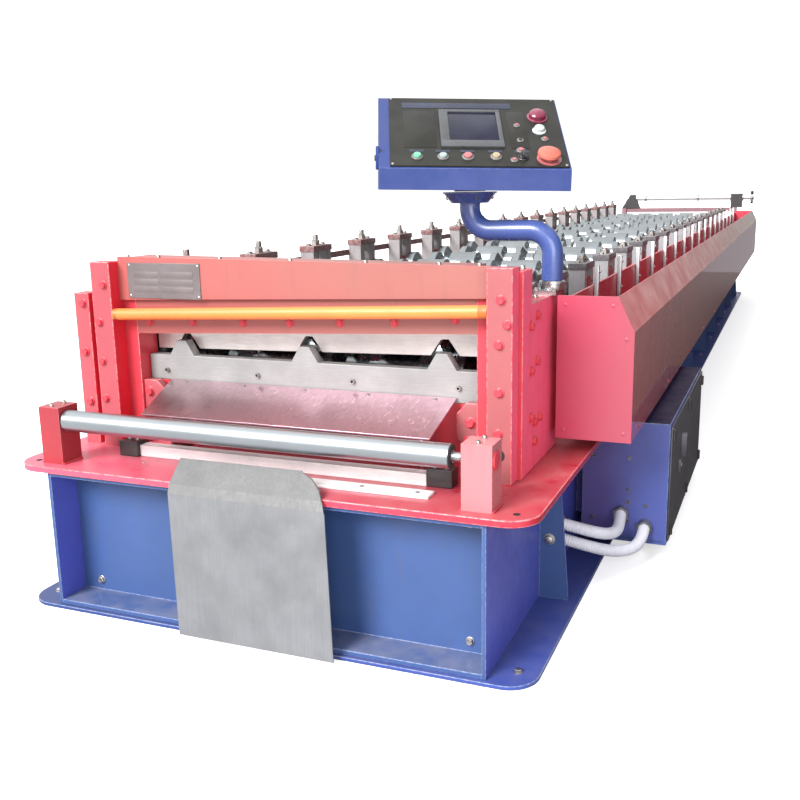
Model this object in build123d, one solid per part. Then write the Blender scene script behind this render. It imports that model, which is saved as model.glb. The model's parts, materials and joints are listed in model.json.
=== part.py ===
from build123d import *
import math
import os

# Roll forming machine for trapezoidal roofing sheet, with its profile shear at
# the delivery end. Millimetres. +X is the drive side, +Y runs from the
# delivery end to the feed end, +Z is up. Origin: centre of the base underside.

# ---- driving dimensions -------------------------------------------------
LEN = 9900.0           # base and bed, over all
WIDTH = 1700.0         # bottom plate and bed plate
CORNER = 90.0          # plan radius of both plates
BOT_T = 12.0           # bottom plate
BED_Z = 475.0          # top of the bed plate
BED_T = 20.0
WEB_X = 721.0          # outer face of the side webs
WEB_T = 12.0
WEB_Y = 15.0           # webs stand this far behind the plate ends
CH_Y = 127.0           # end channel web, front face
RIB_PITCH = 980.0      # outer stiffeners of the base

PASS_Z = 775.0         # pass line of the sheet
AX_GAP = 190.0         # upper shaft axis over lower shaft axis
STATIONS = 18
FIRST_Y = 680.0        # first forming station, from the delivery end
PITCH = 505.0
STAND_X = 608.0        # centre of the bearing stands
STAND_W = 66.0
POST_Y = 70.0          # stand posts each side of the shaft
POST_T = 34.0
CAP_Z = 1034.0
CAP_T = 26.0
SCREW_TOP = 1106.0
CAP_Z_R, SCREW_TOP_R = 972.0, 1022.0     # lower caps and short screws on the drive side
TIE_Z0, TIE_Z1 = 984.0, 1012.0      # flat bar that ties the left stands together
SHAFT_D = 60.0
ROLL_R = 92.0          # base radius of the rolls
RIB_X = (-457.0, 3.0, 463.0)
RIB_H = 50.0
ROLL_X = 545.0         # rolls reach this far each way

WIN_X = 589.0          # shear window, half width
COL_X = 724.0          # outer face of the shear side plates
COL_Y0, COL_YF, COL_Y1 = 350.0, 450.0, 784.0
COL_Z, SHELF_Z = 1077.0, 975.0
REAR_T = 60.0          # thickness of the rear part of the side plates
BEAM_ZL, BEAM_ZR = 1105.0, 1091.0   # top edge of the front beam, left and right
WIN_ZL, WIN_ZR = 852.0, 896.0       # top of the shear window, left and right
BAR_ZL, BAR_ZR = 920.0, 968.0       # safety bar, left and right
BLADE_UP = 801.3       # lower edge of the upper blade at the middle, drawn up
BLADE_TILT = 0.0213    # the drawn-up blade stands higher on the right
GIB_X0, GIB_X1, GIB_Y0, GIB_Z = 637.0, 712.0, 285.0, 1091.0
KNIFE_STROKE = 55.0

ROLLER_Y, ROLLER_Z, ROLLER_D = 72.0, 612.0, 68.0
GUARD = ((750, 528), (750, 978), (935, 978), (986, 873), (986, 528))
GUARD_Y0, GUARD_Y1 = 655.0, 9380.0
GUARD_T = 8.0          # sheet of the guard, an open-topped trough
GUARD_IN = 957.0       # top of its inner wall
BAR_X, BAR_TOP = 767.0, 1028.0      # bright upright bars along the inner wall
BAR_Y, BAR_PITCH, BARS = 1190.0, 475.0, 17

ARM_X, ARM_Y = 712.0, 740.0
ARM_D = 66.0
ARM_Z = 1170.0         # level run of the arm
BOX_X, BOX_Z0 = 441.0, 1296.0
BOX_W, BOX_H = 584.0, 294.0
BOX_LIP = 64.0
BOX_FRONT, BOX_TOP, BOX_BACK = -159.0, 180.0, 208.0   # along its depth
BOX_YAW, BOX_LEAN = 24.0, 1.5

CAB_X0, CAB_X1 = 760.0, 1060.0      # electrical cabinet beside the base
CAB_Y0, CAB_Y1 = 1050.0, 2150.0
CAB_Z0, CAB_Z1 = 60.0, 500.0
CORD_D = 40.0          # flexible conduits into the cabinet
CORD_UPPER = [(760, 738, 214), (826, 756, 196), (886, 806, 168), (912, 884, 150),
              (911, 960, 153), (903, 1028, 164)]
CORD_LOWER = [(760, 742, 160), (834, 752, 142), (912, 802, 112), (966, 882, 96),
              (987, 964, 103), (986, 1028, 122)]

HUB_X = 908.0         # handle of the adjusting shaft
FEED_Y = 9700.0        # cross shaft at the feed end
FEED_Z = 1120.0

os.makedirs("parts", exist_ok=True)
OFF = -LEN / 2


def box(x0, x1, y0, y1, z0, z1):
    """Box between two corners; y counts from the delivery end."""
    return Pos((x0 + x1) / 2, (y0 + y1) / 2 + OFF, (z0 + z1) / 2) * Box(
        abs(x1 - x0), abs(y1 - y0), abs(z1 - z0)
    )


def cyl(axis, c, r, a, b):
    """Cylinder along an axis from a to b through the centre c (x, y, z)."""
    h, m = b - a, (a + b) / 2
    x, y, z = c
    if axis == "x":
        return Pos(m, y + OFF, z) * Rot(0, 90, 0) * Cylinder(r, h)
    if axis == "y":
        return Pos(x, m + OFF, z) * Rot(90, 0, 0) * Cylinder(r, h)
    return Pos(x, y + OFF, m) * Cylinder(r, h)


def yz_plate(points, x0, x1):
    """Plate with the outline points (y, z), thickness from x0 to x1."""
    w = Polyline(*[(y + OFF, z) for y, z in points], close=True)
    f = make_face(Plane.YZ.offset(min(x0, x1)) * w)
    return extrude(f, abs(x1 - x0), dir=(1, 0, 0))


def xz_plate(points, y0, y1):
    """Plate with the outline points (x, z), thickness from y0 to y1."""
    w = Polyline(*[(x, 0, z) for x, z in points], close=True)
    f = Pos(0, y0 + OFF, 0) * make_face(w)
    return extrude(f, y1 - y0, dir=(0, 1, 0))


def turned(profile, y, z):
    """Solid of revolution about X from (x, radius) points, ends on the axis."""
    w = Polyline(*[(x, r, 0) for x, r in profile], close=True)
    s = revolve(make_face(w), Axis.X, 360)
    return Pos(0, y + OFF, z) * s


def save(name, *shapes):
    solids = [s for sh in shapes for s in sh.solids()]
    part = solids[0] if len(solids) == 1 else Compound(children=solids)
    part.label = name
    export_step(part, f"parts/{name}.step")


def plan_plate(z0, z1):
    f = RectangleRounded(WIDTH, LEN, CORNER)
    return Pos(0, 0, z0) * extrude(f, z1 - z0)


# ---- base ---------------------------------------------------------------
save("base_bottom_plate", plan_plate(0, BOT_T))
save("bed_plate", plan_plate(BED_Z - BED_T, BED_Z))

z0, z1 = BOT_T, BED_Z - BED_T
ribs_y = [WEB_Y + 575 + i * RIB_PITCH for i in range(10)]
beams = []
for s in (-1, 1):
    web = box(s * (WEB_X - WEB_T), s * WEB_X, WEB_Y, LEN - WEB_Y, z0, z1)
    for y in ribs_y:
        if s > 0 and CAB_Y0 - 60 < y < CAB_Y1 + 60:
            continue
        rib = xz_plate(
            [(s * WEB_X, z0), (s * (WEB_X + 95), z0), (s * (WEB_X + 60), z1),
             (s * WEB_X, z1)], y, y + 12)
        web = web + rib
    beams.append(web)
save("base_side_beams", *beams)

xi = WEB_X - WEB_T
front = yz_plate(
    [(WEB_Y, z0), (CH_Y + 12, z0), (CH_Y + 12, z1), (WEB_Y, z1), (WEB_Y, z1 - 14),
     (CH_Y, z1 - 14), (CH_Y, z0 + 14), (WEB_Y, z0 + 14)], -xi, xi)
rear = yz_plate(
    [(LEN - WEB_Y, z0), (LEN - CH_Y - 12, z0), (LEN - CH_Y - 12, z1),
     (LEN - WEB_Y, z1), (LEN - WEB_Y, z1 - 14), (LEN - CH_Y, z1 - 14),
     (LEN - CH_Y, z0 + 14), (LEN - WEB_Y, z0 + 14)], -xi, xi)
save("base_cross_members", front, rear,
     *[box(-xi, xi, y, y + 12, z0, z1) for y in ribs_y])

# ---- shear frame ---------------------------------------------------------
for s, name in ((-1, "shear_left_plate"), (1, "shear_right_plate")):
    thick = box(s * WIN_X, s * COL_X, COL_Y0, COL_YF, BED_Z, COL_Z)
    thin = yz_plate(
        [(COL_YF, BED_Z), (COL_Y1, BED_Z), (COL_Y1, SHELF_Z),
         (COL_YF, SHELF_Z)], s * (COL_X - REAR_T), s * COL_X)
    save(name, thick + thin)

beam = xz_plate([(-WIN_X, WIN_ZL), (WIN_X, WIN_ZR), (WIN_X, BEAM_ZR),
                 (-WIN_X, BEAM_ZL)], COL_Y0, COL_YF - 12)
flange = xz_plate([(-GIB_X0, 964), (GIB_X0, 1001), (GIB_X0, BEAM_ZR),
                   (-GIB_X0, BEAM_ZL)], 332, COL_Y0)
save("shear_top_beam", beam + flange)
cheeks = [xz_plate([(-588, 574), (-546, 574), (-506, 612), (-506, 664), (-538, 694),
                    (-588, 694)], 360, 390),
          xz_plate([(588, 547), (560, 547), (522, 586), (522, 656), (552, 690),
                    (588, 690)], 360, 390)]
save("shear_posts",
     box(-GIB_X1, -GIB_X0, GIB_Y0, COL_Y0, BED_Z, GIB_Z),
     box(GIB_X0, GIB_X1, GIB_Y0, COL_Y0, BED_Z, GIB_Z),
     box(-800, -742, 300, 362, BED_Z, 987), *cheeks)
save("nameplate", box(-598, -320, 329, 332, 972, 1086))
tilt = math.degrees(math.atan2(BAR_ZR - BAR_ZL, 2 * GIB_X0))
bar = Pos(0, 300 + OFF, (BAR_ZL + BAR_ZR) / 2) * Rot(0, -tilt, 0) * Rot(
    0, 90, 0) * Cylinder(19, 2 * GIB_X0 + 60)
save("safety_bar", bar & box(-GIB_X0, GIB_X0, 200, 400, 800, 1100))

# lower blade: flat top with a hump under each rib of the sheet
top = PASS_Z
pts = [(-585, 692), (585, 678), (585, top)]
for x in reversed(RIB_X):
    pts += [(x + 47, top), (x + 17, top + RIB_H), (x - 17, top + RIB_H),
            (x - 47, top)]
pts += [(-585, top)]
save("lower_blade", xz_plate(pts, 400, 440))
save("lower_blade_beam", xz_plate(
    [(-WIN_X, BED_Z), (WIN_X, BED_Z), (WIN_X, 677), (-WIN_X, 691)], 404, 440))

# upper blade and its carrier, drawn up at rest
edge = [(-580, 0), ]
for x in RIB_X:
    x = x - 5
    edge += [(x - 46, 0), (x - 12, RIB_H), (x + 12, RIB_H), (x + 46, 0)]
edge += [(574, 0)]
pts = [(x, BLADE_UP + BLADE_TILT * x + z) for x, z in edge]
pts += [(574, 908), (-580, 908)]
save("upper_blade", xz_plate(pts, 446, 474))
carrier = box(-574, 574, 474, 556, 870, 1040) + box(-655, 655, 480, 556, 930, 1000)
rods = [cyl("z", (s * 614, 518, 0), 16, 640, 930) for s in (-1, 1)]
save("knife_carrier", carrier + rods[0] + rods[1])
barrels = []
for s in (-1, 1):
    b = cyl("z", (s * 614, 518, 0), 36, BED_Z, 850)
    b = b - cyl("z", (s * 614, 518, 0), 18, BED_Z + 60, 851)
    barrels.append(b)
save("shear_cylinders", *barrels)

# ---- delivery side ---------------------------------------------------------
slope = (690 - 630) / (396 - 140)
table = yz_plate([(396, 690), (396, 695), (140, 635), (140, 630)], -500, 520)
plan = Polyline((-500, 396 + OFF), (512, 396 + OFF), (520, 140 + OFF), (-440, 140 + OFF),
                close=True)
table = table & (Pos(0, 0, 600) * extrude(make_face(plan), 120))
legs = [yz_plate([(270, BED_Z), (385, BED_Z), (385, 692 - slope * 11),
                  (270, 692 - slope * 126)], x, x + 10) for x in (-430, 440)]
save("outfeed_table", table + legs[0] + legs[1])

brackets = []
for x0, x1 in ((-754, -676), (644, 729)):
    b = box(x0, x1, 40, 128, BED_Z, 658)
    b = b - cyl("x", (0, ROLLER_Y, ROLLER_Z), 14, x0 - 1, x1 + 1)
    brackets.append(b)
save("roller_brackets", *brackets)
r = ROLLER_D / 2
save("outfeed_roller", turned(
    [(-745, 0), (-745, 12.5), (-668, 12.5), (-668, r), (606, r), (606, 12.5),
     (720, 12.5), (720, 0)], ROLLER_Y, ROLLER_Z))
save("lower_support_bar", box(-505, 484, 205, 245, BED_Z, 512),
     box(-255, 530, 95, 150, BED_Z, 484))
save("support_bar_blocks", box(-575, -505, 190, 255, BED_Z, 525),
     box(484, 562, 205, 260, BED_Z, 528))
# sheet apron: over the front edge of the bed and down to the floor
ap = [(50, 536), (0, 487), (-14, 474), (-24, 448), (-34, 8), (-30, 8), (-20, 446),
      (-11, 471), (1, 482), (50, 531.5)]
out = [(-238, 560), (-240, 470), (-226, 0), (289, 0), (272, 440), (262, 470),
       (240, 497), (208, 519), (172, 532), (172, 560)]
apron = yz_plate(ap, -260, 300) & xz_plate(out, -80, 100)
save("apron_sheet", apron)

# ---- forming section --------------------------------------------------------
ys = [FIRST_Y + i * PITCH for i in range(STATIONS)]
lo_z, hi_z = PASS_Z - AX_GAP / 2, PASS_Z + AX_GAP / 2
w = STAND_W / 2
posts, blocks, caps, screws = [], [], [], []
for y in ys:
    for s in (-1, 1):
        cx = s * STAND_X
        cap_z, screw_top = (CAP_Z, SCREW_TOP) if s < 0 else (CAP_Z_R, SCREW_TOP_R)
        for d in (-1, 1):
            posts.append(box(cx - w, cx + w, y + d * POST_Y - POST_T / 2,
                             y + d * POST_Y + POST_T / 2, BED_Z, cap_z))
        hy = POST_Y - POST_T / 2
        for zc in (lo_z, hi_z):
            b = box(cx - w + 4, cx + w - 4, y - hy, y + hy, zc - 68, zc + 68)
            b = b - cyl("x", (0, y, zc), SHAFT_D / 2 + 1.5, cx - w, cx + w)
            blocks.append(b)
        blocks.append(box(cx - w + 4, cx + w - 4, y - hy, y + hy, BED_Z, lo_z - 68))
        cap = box(cx - w - 4, cx + w + 4, y - POST_Y - POST_T / 2 - 4,
                  y + POST_Y + POST_T / 2 + 4, cap_z, cap_z + CAP_T)
        cap = cap - cyl("z", (cx, y, 0), 13, cap_z - 1, cap_z + CAP_T + 1)
        caps.append(cap)
        sc = cyl("z", (cx, y, 0), 12, hi_z + 68, screw_top) + Pos(
            cx, y + OFF, cap_z + CAP_T) * extrude(RegularPolygon(20, 6), 18)
        screws.append(sc)
frames = [posts[2 * i] + posts[2 * i + 1] + caps[i] for i in range(len(caps))]
save("stand_frames", *frames)
save("bearing_blocks", *blocks)
save("stand_tie", box(-STAND_X - w - 12, -STAND_X - w, ys[0] - 90, ys[-1] + 90, TIE_Z0, TIE_Z1))
save("adjusting_screws", *screws)
bar_ys = [BAR_Y + i * BAR_PITCH for i in range(BARS)]
save("guard_posts", *[box(BAR_X - 8.5, BAR_X + 8.5, y - 11, y + 11, GUARD[0][1] + GUARD_T,
                          BAR_TOP) for y in bar_ys])


def roll_profile(h, male, x_end):
    """Outline of a shaft with its rolls; h is the rib height at the station."""
    r0, rs, sp = ROLL_R, SHAFT_D / 2, 56.0
    pts = [(-650, 0), (-650, rs), (-ROLL_X - 6, rs), (-ROLL_X - 6, sp),
           (-ROLL_X, sp), (-ROLL_X, r0)]
    for i, x in enumerate(RIB_X):
        if i:
            m = (RIB_X[i - 1] + x) / 2
            pts += [(m - 150, r0), (m - 150, sp), (m - 70, sp), (m - 70, r0),
                    (m + 70, r0), (m + 70, sp), (m + 150, sp), (m + 150, r0)]
        if male:
            k = r0 + h
            pts += [(x - 42, r0), (x - 15, k), (x + 15, k), (x + 42, r0)]
        else:
            k = r0 - h
            pts += [(x - 47, r0), (x - 20, k), (x + 20, k), (x + 47, r0)]
    pts += [(ROLL_X, r0), (ROLL_X, sp), (ROLL_X + 6, sp), (ROLL_X + 6, rs),
            (x_end, rs), (x_end, 0)]
    return pts


lower = []
for i, y in enumerate(ys):
    h = RIB_H * (1 - i / STATIONS)
    end = 650 if i == 0 else 742
    save(f"upper_shaft_{i + 1:02d}", turned(roll_profile(h, False, end), y, hi_z))
    lower.append(turned(roll_profile(h, True, end), y, lo_z))
save("lower_rolls", *lower)

# ---- chain guard, cabinet, drive --------------------------------------------
gx0, gz0 = GUARD[0]
gx1, gz1 = GUARD[3]
tx, tz = GUARD[2]
bl = math.hypot(gx1 - tx, tz - gz1)
ux, uz = (tz - gz1) / bl, (gx1 - tx) / bl
slant = [(tx - ux * GUARD_T, tz - uz * GUARD_T), (gx1 - ux * GUARD_T, gz1 - uz * GUARD_T)]
knee = slant[1][1] + (slant[1][0] - gx1 + GUARD_T) * ux / uz
trough = [(gx0, gz0), (gx0, GUARD_IN), (gx0 + GUARD_T, GUARD_IN), (gx0 + GUARD_T, gz0 + GUARD_T),
          (gx1 - GUARD_T, gz0 + GUARD_T), (gx1 - GUARD_T, knee), slant[0], (tx, tz), (gx1, gz1),
          (gx1, gz0)]
guard = xz_plate(trough, GUARD_Y0, GUARD_Y1)
for y in (GUARD_Y0, GUARD_Y1 - GUARD_T):
    guard = guard + xz_plate(GUARD, y, y + GUARD_T)
for y in [2400 + i * 1320 for i in range(6)]:
    guard = guard + box(760, 840, y, y + 60, BED_Z, 530)
save("chain_guard", guard)
cabinet = box(CAB_X0, CAB_X1, CAB_Y0, CAB_Y1, CAB_Z0, 448) + box(
    858, CAB_X1, CAB_Y0, CAB_Y1, 448, CAB_Z1)
for y in (1140, 1980):
    cabinet = cabinet + box(WEB_X, CAB_X0, y, y + 60, 120, 400)
save("electrical_cabinet", cabinet)
door = box(CAB_X1, CAB_X1 + 6, CAB_Y0 + 12, CAB_Y1 - 12, CAB_Z0 + 12, CAB_Z1 - 12)
door = door + box(CAB_X1 + 6, CAB_X1 + 26, 1368, 1392, 300, 390)
door = door + box(CAB_X1 + 6, CAB_X1 + 16, 1290, 1330, 260, 310)
save("cabinet_door", door)

# conduits from the base to the cabinet, each held at both ends
glands = []
for name, pts in (("conduit_upper", CORD_UPPER), ("conduit_lower", CORD_LOWER)):
    route = [Vector(x, y + OFF, z) for x, y, z in pts]
    radii = []
    for i in range(1, len(route) - 1):
        a, b = route[i] - route[i - 1], route[i + 1] - route[i]
        turn = math.radians(a.get_angle(b))
        radii.append(0.45 * min(a.length, b.length) / math.tan(turn / 2))
    print(name, "radii", [round(v) for v in radii])
    line = FilletPolyline(*route, radius=radii)
    start = Plane(origin=line @ 0, z_dir=line % 0)
    tube = sweep(start * Circle(CORD_D / 2), path=line)
    print(name, "length", round(line.length), "volume ratio",
          round(tube.volume / (math.pi * CORD_D ** 2 / 4 * line.length), 4))
    save(name, tube)
    gl = start * (Pos(0, 0, -40) * Cylinder(24, 80) + Pos(0, 0, -10) * extrude(
        RegularPolygon(30, 6), 10)) & box(WEB_X, CAB_X0 + 40, 600, 900, 40, 300)
    stop = Plane(origin=line @ 1, z_dir=line % 1)
    ge = stop * (Pos(0, 0, 25) * Cylinder(24, 50) + extrude(
        RegularPolygon(30, 6), 10)) & box(800, CAB_X1, 900, CAB_Y0, 40, 300)
    glands += [gl, ge]
save("conduit_fittings", *glands)

# ---- control arm and box -----------------------------------------------------
ab = box(666, 740, 676, 784, SHELF_Z, SHELF_Z + 14)
ab = ab + cyl("z", (ARM_X, ARM_Y, 0), 37, SHELF_Z + 14, SHELF_Z + 40)
save("arm_base", ab)
bx, bz = BOX_X, BOX_Z0
path = FilletPolyline(
    (ARM_X, ARM_Y + OFF, SHELF_Z + 41), (ARM_X, ARM_Y + OFF, ARM_Z),
    (bx, ARM_Y + OFF, ARM_Z), (bx, ARM_Y + OFF, bz - 36), radius=72)
sec = Plane(origin=path @ 0, z_dir=path % 0) * Circle(ARM_D / 2)
pipe = sweep(sec, path=path)
cone = Pos(bx, ARM_Y + OFF, bz - 22) * Cone(58, 86, 34)
save("control_arm", pipe + cone)

hw = BOX_W / 2
# section of the box: sloped front over a short upright lip
sec_pts = [(BOX_FRONT, 0), (BOX_BACK, 0), (BOX_BACK, BOX_H), (BOX_TOP, BOX_H),
           (BOX_FRONT, BOX_LIP)]
wire = Polyline(*[(0, y, z) for y, z in sec_pts], close=True)
cb = Pos(-hw, 0, 0) * extrude(make_face(wire), BOX_W, dir=(1, 0, 0))
place = Pos(bx, ARM_Y + OFF, bz) * Rot(0, 0, BOX_YAW) * Rot(0, BOX_LEAN, 0)
collar = Pos(bx, ARM_Y + OFF, bz + 4) * Cylinder(50, 14)
save("control_box", place * cb + collar)
dy, dz = BOX_TOP - BOX_FRONT, BOX_H - BOX_LIP
n = math.hypot(dy, dz)
ny, nz = -dz / n, dy / n


def on_face(t, d):
    """Point on the sloped front, t along it from the lip, d out of it."""
    return (BOX_FRONT + dy / n * t + ny * d, BOX_LIP + dz / n * t + nz * d)


p4 = [on_face(6, 0), on_face(n - 8, 0), on_face(n - 8, 6), on_face(6, 6)]
wire = Polyline(*[(0, y, z) for y, z in p4], close=True)
pn = Pos(-hw + 34, 0, 0) * extrude(make_face(wire), BOX_W - 40, dir=(1, 0, 0))
save("control_panel", place * pn)

# ---- feed end -----------------------------------------------------------------
fy = FEED_Y
save("feed_table", box(-500, 560, fy - 260, fy + 180, 752, 764) + box(
    -480, -460, fy - 240, fy + 160, BED_Z, 752) + box(
    520, 540, fy - 240, fy + 160, BED_Z, 752))
save("feed_end_frame",
     box(-560, -510, fy - 40, fy + 40, BED_Z, 1008) +
     box(700, 750, fy - 40, fy + 40, BED_Z, 1008) +
     box(-510, 700, fy - 20, fy + 20, 960, 1008))
save("feed_white_bar", box(-510, 700, fy - 20, fy + 15, 918, 948))
left = xz_plate([(-565, 1008), (-351, 1008), (-415, 1164), (-465, 1164)],
                fy - 30, fy + 30)
right = box(680, 806, fy - 30, fy + 30, 1008, 1160)
rod_hole = cyl("x", (0, FEED_Y, FEED_Z), 21.5, -600, 900)
save("feed_shaft_brackets", left - rod_hole, right - rod_hole)
crank = cyl("x", (0, FEED_Y, FEED_Z), 20, -500, HUB_X + 16) + cyl(
    "x", (0, FEED_Y, FEED_Z), 28, HUB_X - 16, HUB_X + 16)
crank = crank + cyl("z", (HUB_X, FEED_Y, 0), 10, FEED_Z - 72, FEED_Z + 72) + cyl(
    "y", (HUB_X, 0, FEED_Z), 10, FEED_Y - 72, FEED_Y + 72)
save("feed_adjusting_shaft", crank)
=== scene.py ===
import json
import math
import random

import bmesh
import bpy
from mathutils import Matrix, Vector


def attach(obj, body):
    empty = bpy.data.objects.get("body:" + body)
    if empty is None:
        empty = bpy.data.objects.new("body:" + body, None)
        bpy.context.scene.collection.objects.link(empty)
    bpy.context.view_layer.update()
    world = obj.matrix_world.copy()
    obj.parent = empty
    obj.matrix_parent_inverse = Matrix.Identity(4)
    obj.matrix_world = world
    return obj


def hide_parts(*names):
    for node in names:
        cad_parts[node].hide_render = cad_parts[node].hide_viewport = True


# Roll forming machine for roofing sheet: looks and small detail round the CAD
# frame. Metres. Lengths below are written in millimetres from the delivery end
# of the base, and V() turns them into the frame.

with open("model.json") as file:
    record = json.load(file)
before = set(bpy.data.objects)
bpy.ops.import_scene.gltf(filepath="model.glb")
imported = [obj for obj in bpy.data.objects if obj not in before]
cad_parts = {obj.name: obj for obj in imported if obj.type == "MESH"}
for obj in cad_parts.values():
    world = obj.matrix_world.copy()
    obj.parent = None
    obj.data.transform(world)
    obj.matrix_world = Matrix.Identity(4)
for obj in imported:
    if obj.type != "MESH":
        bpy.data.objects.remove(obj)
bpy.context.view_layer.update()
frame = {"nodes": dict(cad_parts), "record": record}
nodes = frame["nodes"]
OFF = -4.95
body_of = {n: b for b, ns in frame["record"]["behaviour"]["bodies"].items() for n in ns}
rnd = random.Random(7)


def V(x, y, z):
    return Vector((x / 1000, y / 1000 + OFF, z / 1000))


# ---- camera ---------------------------------------------------------------
yaw, pitch, roll = math.radians(22.49), math.radians(12.59), math.radians(1.07)
fwd = Vector((-math.sin(yaw) * math.cos(pitch), math.cos(yaw) * math.cos(pitch), -math.sin(pitch)))
r0 = Vector((math.cos(yaw), math.sin(yaw), 0))
d0 = fwd.cross(r0)
right = r0 * math.cos(roll) + d0 * math.sin(roll)
down = -r0 * math.sin(roll) + d0 * math.cos(roll)
cam = bpy.data.objects.new("camera", bpy.data.cameras.new("camera"))
m = Matrix.Identity(4)
for i in range(3):
    m[i][0], m[i][1], m[i][2] = right[i], -down[i], -fwd[i]
m.translation = V(1415.2, -2228.2, 1311.0)
cam.matrix_world = m
cam.data.sensor_width = 36.0
cam.data.lens = 42.95
cam.data.clip_end = 200
bpy.context.scene.collection.objects.link(cam)
bpy.context.scene.camera = cam
bpy.context.scene.view_settings.view_transform = "Standard"
bpy.context.scene.view_settings.look = "None"


# ---- materials --------------------------------------------------------------
class Mat:
    """A small writer for one procedural material."""

    def __init__(self, name):
        self.m = bpy.data.materials.new(name)
        self.m.use_nodes = True
        self.nt = self.m.node_tree
        self.nt.nodes.clear()
        self.out = self.nt.nodes.new("ShaderNodeOutputMaterial")
        self.b = self.nt.nodes.new("ShaderNodeBsdfPrincipled")
        self.nt.links.new(self.b.outputs[0], self.out.inputs[0])
        self.co = self.nt.nodes.new("ShaderNodeTexCoord").outputs["Object"]
        self.geo = self.nt.nodes.new("ShaderNodeNewGeometry")

    def put(self, **kw):
        for k, v in kw.items():
            s = self.b.inputs[k.replace("_", " ")]
            if isinstance(v, bpy.types.NodeSocket):
                self.nt.links.new(v, s)
            else:
                s.default_value = v if not isinstance(v, tuple) or len(v) != 3 else (*v, 1)
        return self

    def stretch(self, x, y, z, vec=None):
        n = self.nt.nodes.new("ShaderNodeMapping")
        n.inputs["Scale"].default_value = (x, y, z)
        self.nt.links.new(vec or self.co, n.inputs["Vector"])
        return n.outputs[0]

    def noise(self, scale, detail=4, rough=0.55, vec=None, dist=0.0):
        n = self.nt.nodes.new("ShaderNodeTexNoise")
        n.inputs["Scale"].default_value = scale
        n.inputs["Detail"].default_value = detail
        n.inputs["Roughness"].default_value = rough
        n.inputs["Distortion"].default_value = dist
        self.nt.links.new(vec or self.co, n.inputs["Vector"])
        return n.outputs["Fac"]

    def wave(self, scale, axis="X", vec=None, dist=0.0, profile="SIN"):
        n = self.nt.nodes.new("ShaderNodeTexWave")
        n.bands_direction = axis
        n.wave_profile = profile
        n.inputs["Scale"].default_value = scale
        n.inputs["Distortion"].default_value = dist
        self.nt.links.new(vec or self.co, n.inputs["Vector"])
        return n.outputs["Fac"]

    def voronoi(self, scale, vec=None, what="Distance"):
        n = self.nt.nodes.new("ShaderNodeTexVoronoi")
        n.inputs["Scale"].default_value = scale
        self.nt.links.new(vec or self.co, n.inputs["Vector"])
        return n.outputs[what]

    def ramp(self, fac, *stops):
        n = self.nt.nodes.new("ShaderNodeValToRGB")
        e = n.color_ramp.elements
        while len(e) < len(stops):
            e.new(0.5)
        for el, (p, c) in zip(e, stops):
            el.position = p
            el.color = (*c, 1) if isinstance(c, tuple) else (c, c, c, 1)
        self.nt.links.new(fac, n.inputs[0])
        return n.outputs[0]

    def mix(self, fac, a, b, mode="MIX"):
        n = self.nt.nodes.new("ShaderNodeMix")
        n.data_type = "RGBA"
        n.blend_type = mode
        for s, v in ((n.inputs[0], fac), (n.inputs[6], a), (n.inputs[7], b)):
            if isinstance(v, bpy.types.NodeSocket):
                self.nt.links.new(v, s)
            elif isinstance(v, tuple):
                s.default_value = (*v, 1)
            else:
                s.default_value = v
        return n.outputs[2]

    def rng(self, v, a, b, c, d):
        n = self.nt.nodes.new("ShaderNodeMapRange")
        for i, x in enumerate((a, b, c, d)):
            n.inputs[i + 1].default_value = x
        self.nt.links.new(v, n.inputs[0])
        return n.outputs[0]

    def calc(self, op, a, b=None):
        n = self.nt.nodes.new("ShaderNodeMath")
        n.operation = op
        for s, v in zip(n.inputs, (a, b)):
            if v is None:
                continue
            if isinstance(v, bpy.types.NodeSocket):
                self.nt.links.new(v, s)
            else:
                s.default_value = v
        return n.outputs[0]

    def part(self, vec, axis):
        n = self.nt.nodes.new("ShaderNodeSeparateXYZ")
        self.nt.links.new(vec, n.inputs[0])
        return n.outputs["XYZ".index(axis)]

    def bump(self, height, strength, distance, normal=None):
        n = self.nt.nodes.new("ShaderNodeBump")
        n.inputs["Strength"].default_value = strength
        n.inputs["Distance"].default_value = distance
        self.nt.links.new(height, n.inputs["Height"])
        if normal is not None:
            self.nt.links.new(normal, n.inputs["Normal"])
        return n.outputs[0]


def mul(c, k):
    return tuple(min(1.0, v * k) for v in c)


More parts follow.
